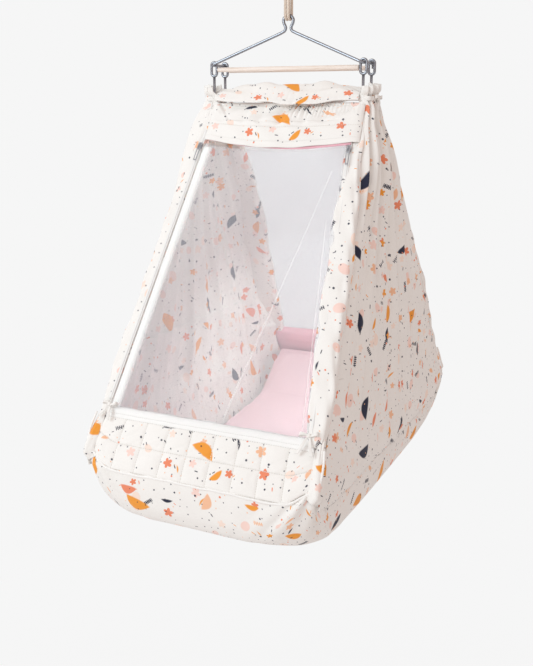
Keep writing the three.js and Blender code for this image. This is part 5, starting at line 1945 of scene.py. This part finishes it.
    def rail_cover(self, side: Side) -> None:
        """The printed cloth inside a side rail, from the side panel down to the mattress."""
        u, v = grid(240, 60)
        place = side.value * blend(self.cover_reach, -self.cover_reach, u)
        low = np.maximum(-84.0, self._bottom(place) + 10.0)
        z = blend(168.0, low, v)
        half = PLAN.length / 2 - self.leg_lean * np.maximum(z, 0) - 13.0
        half = half - 16.0 * smooth(-z / 60) + 10.0 * smooth((z - 86) / 12)
        y = side.value * blend(half, -half, u)
        rear, front = 24.0 * smooth((y - half + 46) / 46), 8.0 * smooth((-y - half + 30) / 30)
        turned = (rear * (1 + 0.25 * smooth((z - 50) / 40)) + front) * (1 - smooth((z - 92) / 74))
        x = np.interp(z, [-84, -50, -20, -4, 6, 30, 72], [188.0, 198.0, 204.5, 206.5, 207.0, 208.0, 209.0])
        pleats = 1.7 * uneven_folds(u, 13, 0.9 * side.value) + 0.6 * uneven_folds(u, 31, 0.4)
        x = x - np.maximum(0, 1.2 + pleats) * arch(np.clip(v, 0.02, 1)) * np.minimum(1, 30 * from_edge(u))
        x = blend(x, self.tent.stands(side, u, z) - 1.6, smooth((z - 14) / 52))
        points = PLAN.row(stack(side.value * (x - turned), y, z))
        piece = Cloth(f"{side.label}_rail_cover", points, 0.9 * MM).build()
        dress(piece, self.finishes.print_cloth, "print_cloth", "cradle")
        f"{side.label}_side_cloth"

    def rim_tie(self, end: End, side: Side) -> None:
        """The bow that closes the cover round a leg under the rim."""
        frame = end_frame(end, side, 0.0, 88.0, 0.0)
        turn = circle(48)
        rows = np.linspace(-4, 4, 8)[:, None]
        reach = 5.2 + 0.5 * np.cos(rows / 4 * 1.4) + 0.3 * np.sin(5 * turn + rows)
        ring = stack(reach * np.cos(turn), rows, reach * np.sin(turn))
        band = Cloth("band", frame.place(ring), 1.0 * MM, round_columns=True).build()
        inward = np.array([-side.value, 0.0, 0.0])
        fit = REAR_BOW if end is End.REAR else FRONT_LEFT_BOW if side is Side.LEFT else FRONT_RIGHT_BOW
        middle = frame.origin + frame.out * fit.out + frame.up * fit.rise + inward * fit.inside
        knot = Local(middle, frame.across, frame.up, frame.out)
        piece = joined(f"{end.label}_{side.label}_rim_ribbon", [band, *bow(knot, fit.loop, fit.tail)])
        dress(piece, self.finishes.print_cloth, "print_cloth", "cradle", f"{end.label}_{side.label}_rim_tie")

    def _outline(self, corner: Array, count: int) -> tuple[Array, Array]:
        """Points and outward directions round the floor's plan, as a rectangle with rounded corners.

        Args:
            corner: Radius of the corners of each ring, as a column.
            count: Points in a quarter of the outline's straights and in each corner.

        Returns:
            Points and directions, as rings of XY pairs.
        """
        rings, outs = [], []
        for radius in np.ravel(corner):
            points, directions = [], []
            for quarter, (sx, sy) in enumerate(((1, 1), (-1, 1), (-1, -1), (1, -1))):
                middle = np.array([sx * (self.half_width - radius), sy * (self.half_length - radius)])
                turn = math.pi / 2 * (quarter + np.linspace(0, 1, count + 1))
                way = stack(np.cos(turn), np.sin(turn))
                points.append(middle + radius * way)
                directions.append(way)
            ring, facing = [], []
            for quarter in range(4):
                ring.append(points[quarter])
                facing.append(directions[quarter])
                start, stop = points[quarter][-1], points[(quarter + 1) % 4][0]
                steps = (count * 3 if quarter % 2 == 0 else count * 5)
                share = np.linspace(0, 1, steps + 2)[1:-1, None]
                ring.append(blend(start, stop, share))
                facing.append(np.repeat(directions[quarter][-1][None], steps, 0))
            rings.append(np.concatenate(ring))
            outs.append(np.concatenate(facing))
        return np.array(rings), np.array(outs)

    def _bottom(self, y: Array) -> Array:
        """Height of the floor's underside along the cradle."""
        return -self.depth * np.interp(y, FLOOR_PLACES, FLOOR_DEPTHS)

    def floor(self) -> None:
        """The floor: one cloth that hangs from the seams as a shallow tub, gathered at its corners."""
        keys = [(1, 0), (1, 0.35), (0.985, 0.66), (0.94, 0.87), (0.85, 0.97), (0.68, 1.0), (0.34, 1), (0.0, 1)]
        line = through(np.array(keys, float), 12)
        plan, depth = line[:, :1], np.clip(line[:, 1:], 0, 1)
        rings, outs = self._outline(blend(14.0, 105.0, depth), 16)
        x, y = rings[..., 0] * plan, rings[..., 1] * plan
        from_corner = np.hypot(self.half_width - np.abs(rings[:1, :, 0]), self.half_length - np.abs(rings[:1, :, 1]))
        rim = seam_height(rings[..., 1]) - 1.2 + 11.0 * smooth((np.abs(rings[..., 1]) - 360) / 22)
        rim = rim + self.leg_rise * self.lifted(from_corner)
        smoothed = sum(self._bottom(y + shift) for shift in (-36, -24, -12, 0, 12, 24, 36)) / 7
        z = blend(rim, smoothed, depth)
        share = np.arange(rings.shape[1]) / rings.shape[1]
        wall = smooth(1 - depth)
        near_corner = mound(from_corner, 0, 85) * wall**0.6 * smooth((plan - 0.6) / 0.3)
        folds = near_corner * (0.5 + 2.6 * np.sin(2 * math.pi * 44 * share + 3 * depth))
        folds = folds + 0.9 * np.sin(2 * math.pi * 61 * share + 0.8) * fade(depth, 0.10)
        folds = folds + 1.3 * np.sin(2 * math.pi * (7 * share) + 4 * depth) * arch(np.clip(plan, 0, 1) * 0.9)
        over = np.maximum(0, z + 8)
        x, y = x + outs[..., 0] * folds, y + outs[..., 1] * folds - np.sign(y) * 0.6 * over
        sag = 1.2 * np.sin(x / 37.0 + 0.4) * np.sin(y / 53.0) * smooth((1 - plan) / 0.2)
        points = PLAN.row(stack(x, y, z + sag))[::-1]
        step = np.linalg.norm(np.diff(points, axis=0), axis=-1)
        wall_rows = np.concatenate([np.zeros((1, step.shape[1])), np.cumsum(step, 0)])
        near = int(np.argmax(plan[::-1, 0] > 0.8))
        extra = np.maximum(wall_rows - wall_rows[near], 0)
        own, way = points[..., :2], outs[::-1]
        reach = (points[near][None, :, :2] * way).sum(-1) + extra - (own * way).sum(-1)
        beyond = (np.arange(len(points)) > near)[:, None, None]
        flat = own + way * np.where(beyond, reach[..., None], 0.0)
        piece = Cloth("floor_cloth", points, 1.3 * MM, flat, round_columns=True).build()
        dress(piece, self.finishes.print_cloth, "print_cloth", "cradle", "tub_floor")


@dataclass
class Mattress:
    """The pink mattress: a soft pad that rises at the head end."""

    finishes: Finishes
    half_width: float = 184.0
    front: float = -338.0
    rear: float = 357.0
    thickness: float = 44.0
    edge: float = 24.0
    kink: float = 240.0
    rise: float = 63.0
    seat: float = 3.3
    frames: int = 18

    def build(self) -> None:
        """Makes the mattress, puffed by a short cloth simulation."""
        u, v = grid(60, 120)
        y = blend(self.front, self.rear, v)
        rise = self.rise * np.maximum(0, (y - self.kink) / (self.rear - self.kink))
        seat = -Tub.depth * np.interp(y, FLOOR_PLACES, SEAT_DEPTHS) + self.seat
        head = np.maximum(0, 2 * v - 1)
        crown = (1 - (1 - 0.75 * head) * (2 * u - 1) ** 6) * (1 - np.maximum(0, 1 - 2 * v) ** 20) * (1 - 0.2 * head**30)
        thick = blend(self.edge, self.thickness, crown) - 3.0
        corner = np.maximum(0, np.abs(2 * u - 1) - 0.86) * np.maximum(0, np.abs(2 * v - 1) - 0.93)
        inset = 1 - blend(0.8, 0.35, smooth(2 * v)) * np.sqrt(corner) - 0.10 * np.maximum(0, 1 - 2 * v) ** 8
        x = blend(-self.half_width + 2, self.half_width - 2, u) * inset
        middle = seat + self.thickness / 2 + rise
        shell = Cloth("mattress_pad", PLAN.row(stack(x, y, middle)), thick * MM)
        piece = shell.build()
        piece = self._puffed(piece)
        self._map(piece)
        dress(piece, self.finishes.mattress, "pink_cloth", "cradle", "mattress")

    def _puffed(self, piece: bpy.types.Object) -> bpy.types.Object:
        """The pad after a cloth simulation under pressure, with its movement capped."""
        remesh = piece.modifiers.new("even", "REMESH")
        remesh.mode = "VOXEL"
        remesh.voxel_size = 5.5 * MM
        even = self._baked(piece)
        cloth = even.modifiers.new("cloth", "CLOTH")
        cloth.settings.quality = 4
        cloth.settings.use_pressure = True
        cloth.settings.uniform_pressure_force = 4
        cloth.settings.tension_stiffness = 40
        cloth.settings.compression_stiffness = 40
        cloth.settings.shear_stiffness = 12
        cloth.settings.bending_stiffness = 0.4
        cloth.settings.effector_weights.gravity = 0
        cloth.point_cache.frame_end = self.frames
        before = coordinates(even.data)
        for frame in range(1, self.frames + 1):
            bpy.context.scene.frame_set(frame)
        done = self._baked(even)
        bpy.context.scene.frame_set(1)
        moved = coordinates(done.data) - before
        long = np.linalg.norm(moved, axis=1, keepdims=True)
        moved *= np.minimum(1, 4 * MM / np.maximum(long, 1e-9))
        done.data.vertices.foreach_set("co", (before + moved).ravel())
        finer = done.modifiers.new("finer", "SUBSURF")
        finer.levels = 1
        return self._baked(done)

    @staticmethod
    def _baked(piece: bpy.types.Object) -> bpy.types.Object:
        """The piece with its modifiers applied."""
        bpy.context.view_layer.update()
        mesh = bpy.data.meshes.new_from_object(piece.evaluated_get(bpy.context.evaluated_depsgraph_get()))
        piece.modifiers.clear()
        piece.data = mesh
        return piece

    @staticmethod
    def _map(piece: bpy.types.Object) -> None:
        """Gives the pad its flat coordinates, as seen from above with the sides let down."""
        mesh = piece.data
        place = coordinates(mesh)
        flat = np.stack([place[:, 0] + 0.6 * place[:, 2], place[:, 1] + 0.35 * place[:, 2]], -1)
        layer = mesh.uv_layers.get(CLOTH_MAP) or mesh.uv_layers.new(name=CLOTH_MAP)
        layer.data.foreach_set("uv", flat[corner_vertices(mesh)].astype(np.float32).ravel())
        mesh.polygons.foreach_set("use_smooth", [True] * len(mesh.polygons))


# Camera, light and ground


@dataclass(frozen=True)
class Lamp:
    """A soft square light, in metres and watts.

    A light with a `hidden_spread` is a fan of that many degrees that the camera doesn't see, as for the light
    that comes through the tent's thin cloth.
    """

    name: str
    place: tuple[float, float, float]
    size: float
    power: float
    colour: tuple[float, float, float] = (1.0, 1.0, 1.0)
    target: tuple[float, float, float] = (0.0, 0.0, -0.75)
    hidden_spread: Optional[float] = None


LAMPS = (
    Lamp("key", (-1.5, -2.9, 0.8), 2.0, 61.0, (0.80, 0.94, 1.0)),
    Lamp("top", (0.2, -0.6, 2.2), 1.6, 3.5),
    Lamp("front", (1.3, -3.1, 0.3), 1.0, 3.0),
    Lamp("glow", (0.0, 0.07, -0.70), 0.2, 0.46, (0.86, 1.0, 0.965), (-0.02, 0.19, -1.1), 125.0),
    Lamp("upper_glow", (0.06, 0.0, -0.50), 0.08, 0.15, (0.82, 1.0, 0.95), (-0.2, 0.0, -0.64), 180.0),
)


@dataclass
class Studio:
    """The camera, the soft lights and the pale ground."""

    finishes: Optional[Finishes] = None
    ground_height: float = -2.4
    reach: float = 9.0
    sky: float = 0.68
    lens: float = 47.91
    camera_place: tuple[float, float, float] = (0.69717, -1.5402, -0.42634)
    camera_tilt: float = 0.2499
    camera_turn: float = 0.4485

    def camera(self) -> None:
        """Sets the camera that matches the picture."""
        data = bpy.data.cameras.new("camera")
        data.lens = self.lens
        data.sensor_width = 36.0
        data.sensor_fit = "AUTO"
        data.clip_end = 60.0
        made = bpy.data.objects.new("camera", data)
        made.location = self.camera_place
        made.rotation_euler = (math.pi / 2 - self.camera_tilt, 0.0, self.camera_turn)
        bpy.context.scene.collection.objects.link(made)
        bpy.context.scene.camera = made

    @staticmethod
    def light(lamp: Lamp) -> None:
        """Adds a light."""
        data = bpy.data.lights.new(lamp.name, "AREA")
        data.shape = "SQUARE"
        data.size = lamp.size
        data.energy = lamp.power
        data.color = lamp.colour
        made = bpy.data.objects.new(lamp.name, data)
        if lamp.hidden_spread is not None:
            data.spread = math.radians(lamp.hidden_spread)
            made.visible_camera = False
        made.location = lamp.place
        way = Vector(lamp.target) - Vector(lamp.place)
        made.rotation_euler = way.to_track_quat("-Z", "Y").to_euler()
        bpy.context.scene.collection.objects.link(made)

    def build(self) -> None:
        """Makes the lights, the sky and the ground."""
        for lamp in LAMPS:
            self.light(lamp)
        self._sky()
        edge = self.reach
        corners = [(-edge, -edge), (edge, -edge), (edge, edge), (-edge, edge)]
        ground = mesh_object("ground", np.array([(x, y, self.ground_height) for x, y in corners]), [(0, 1, 2, 3)])
        ground.data.materials.append(self.finishes.ground)

    def _sky(self) -> None:
        """A pale sky that the camera sees in the ground's colour."""
        world = bpy.data.worlds.new("pale_sky")
        sky = Shader(world)
        seen = sky.out(sky.node("ShaderNodeLightPath"), "Is Camera Ray")
        lit = sky.node("ShaderNodeBackground", None, {0: (1.0, 0.89, 0.85), 1: self.sky})
        shown = sky.node("ShaderNodeBackground", None, {0: linear(PALE_GREY)})
        both = sky.node("ShaderNodeMixShader", None, {0: seen, 1: lit.outputs[0], 2: shown.outputs[0]})
        sky.node("ShaderNodeOutputWorld", None, {"Surface": both.outputs[0]})
        bpy.context.scene.world = world


def main() -> None:
    """Builds the dressed cradle over its CAD frame."""
    logging.basicConfig(level=logging.INFO, format="%(name)s: %(message)s")
    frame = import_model()
    studio = Studio()
    studio.camera()
    finishes = Finishes()
    Suspension(finishes, frame["nodes"]).build()
    RodWork(finishes).build()
    tent = Tent(finishes)
    tent.build()
    Nets(finishes).build()
    Tub(finishes, tent).build()
    Mattress(finishes).build()
    studio.finishes = finishes
    studio.build()
    bpy.context.scene.view_settings.view_transform = "Standard"


if __name__ == "__main__":
    main()
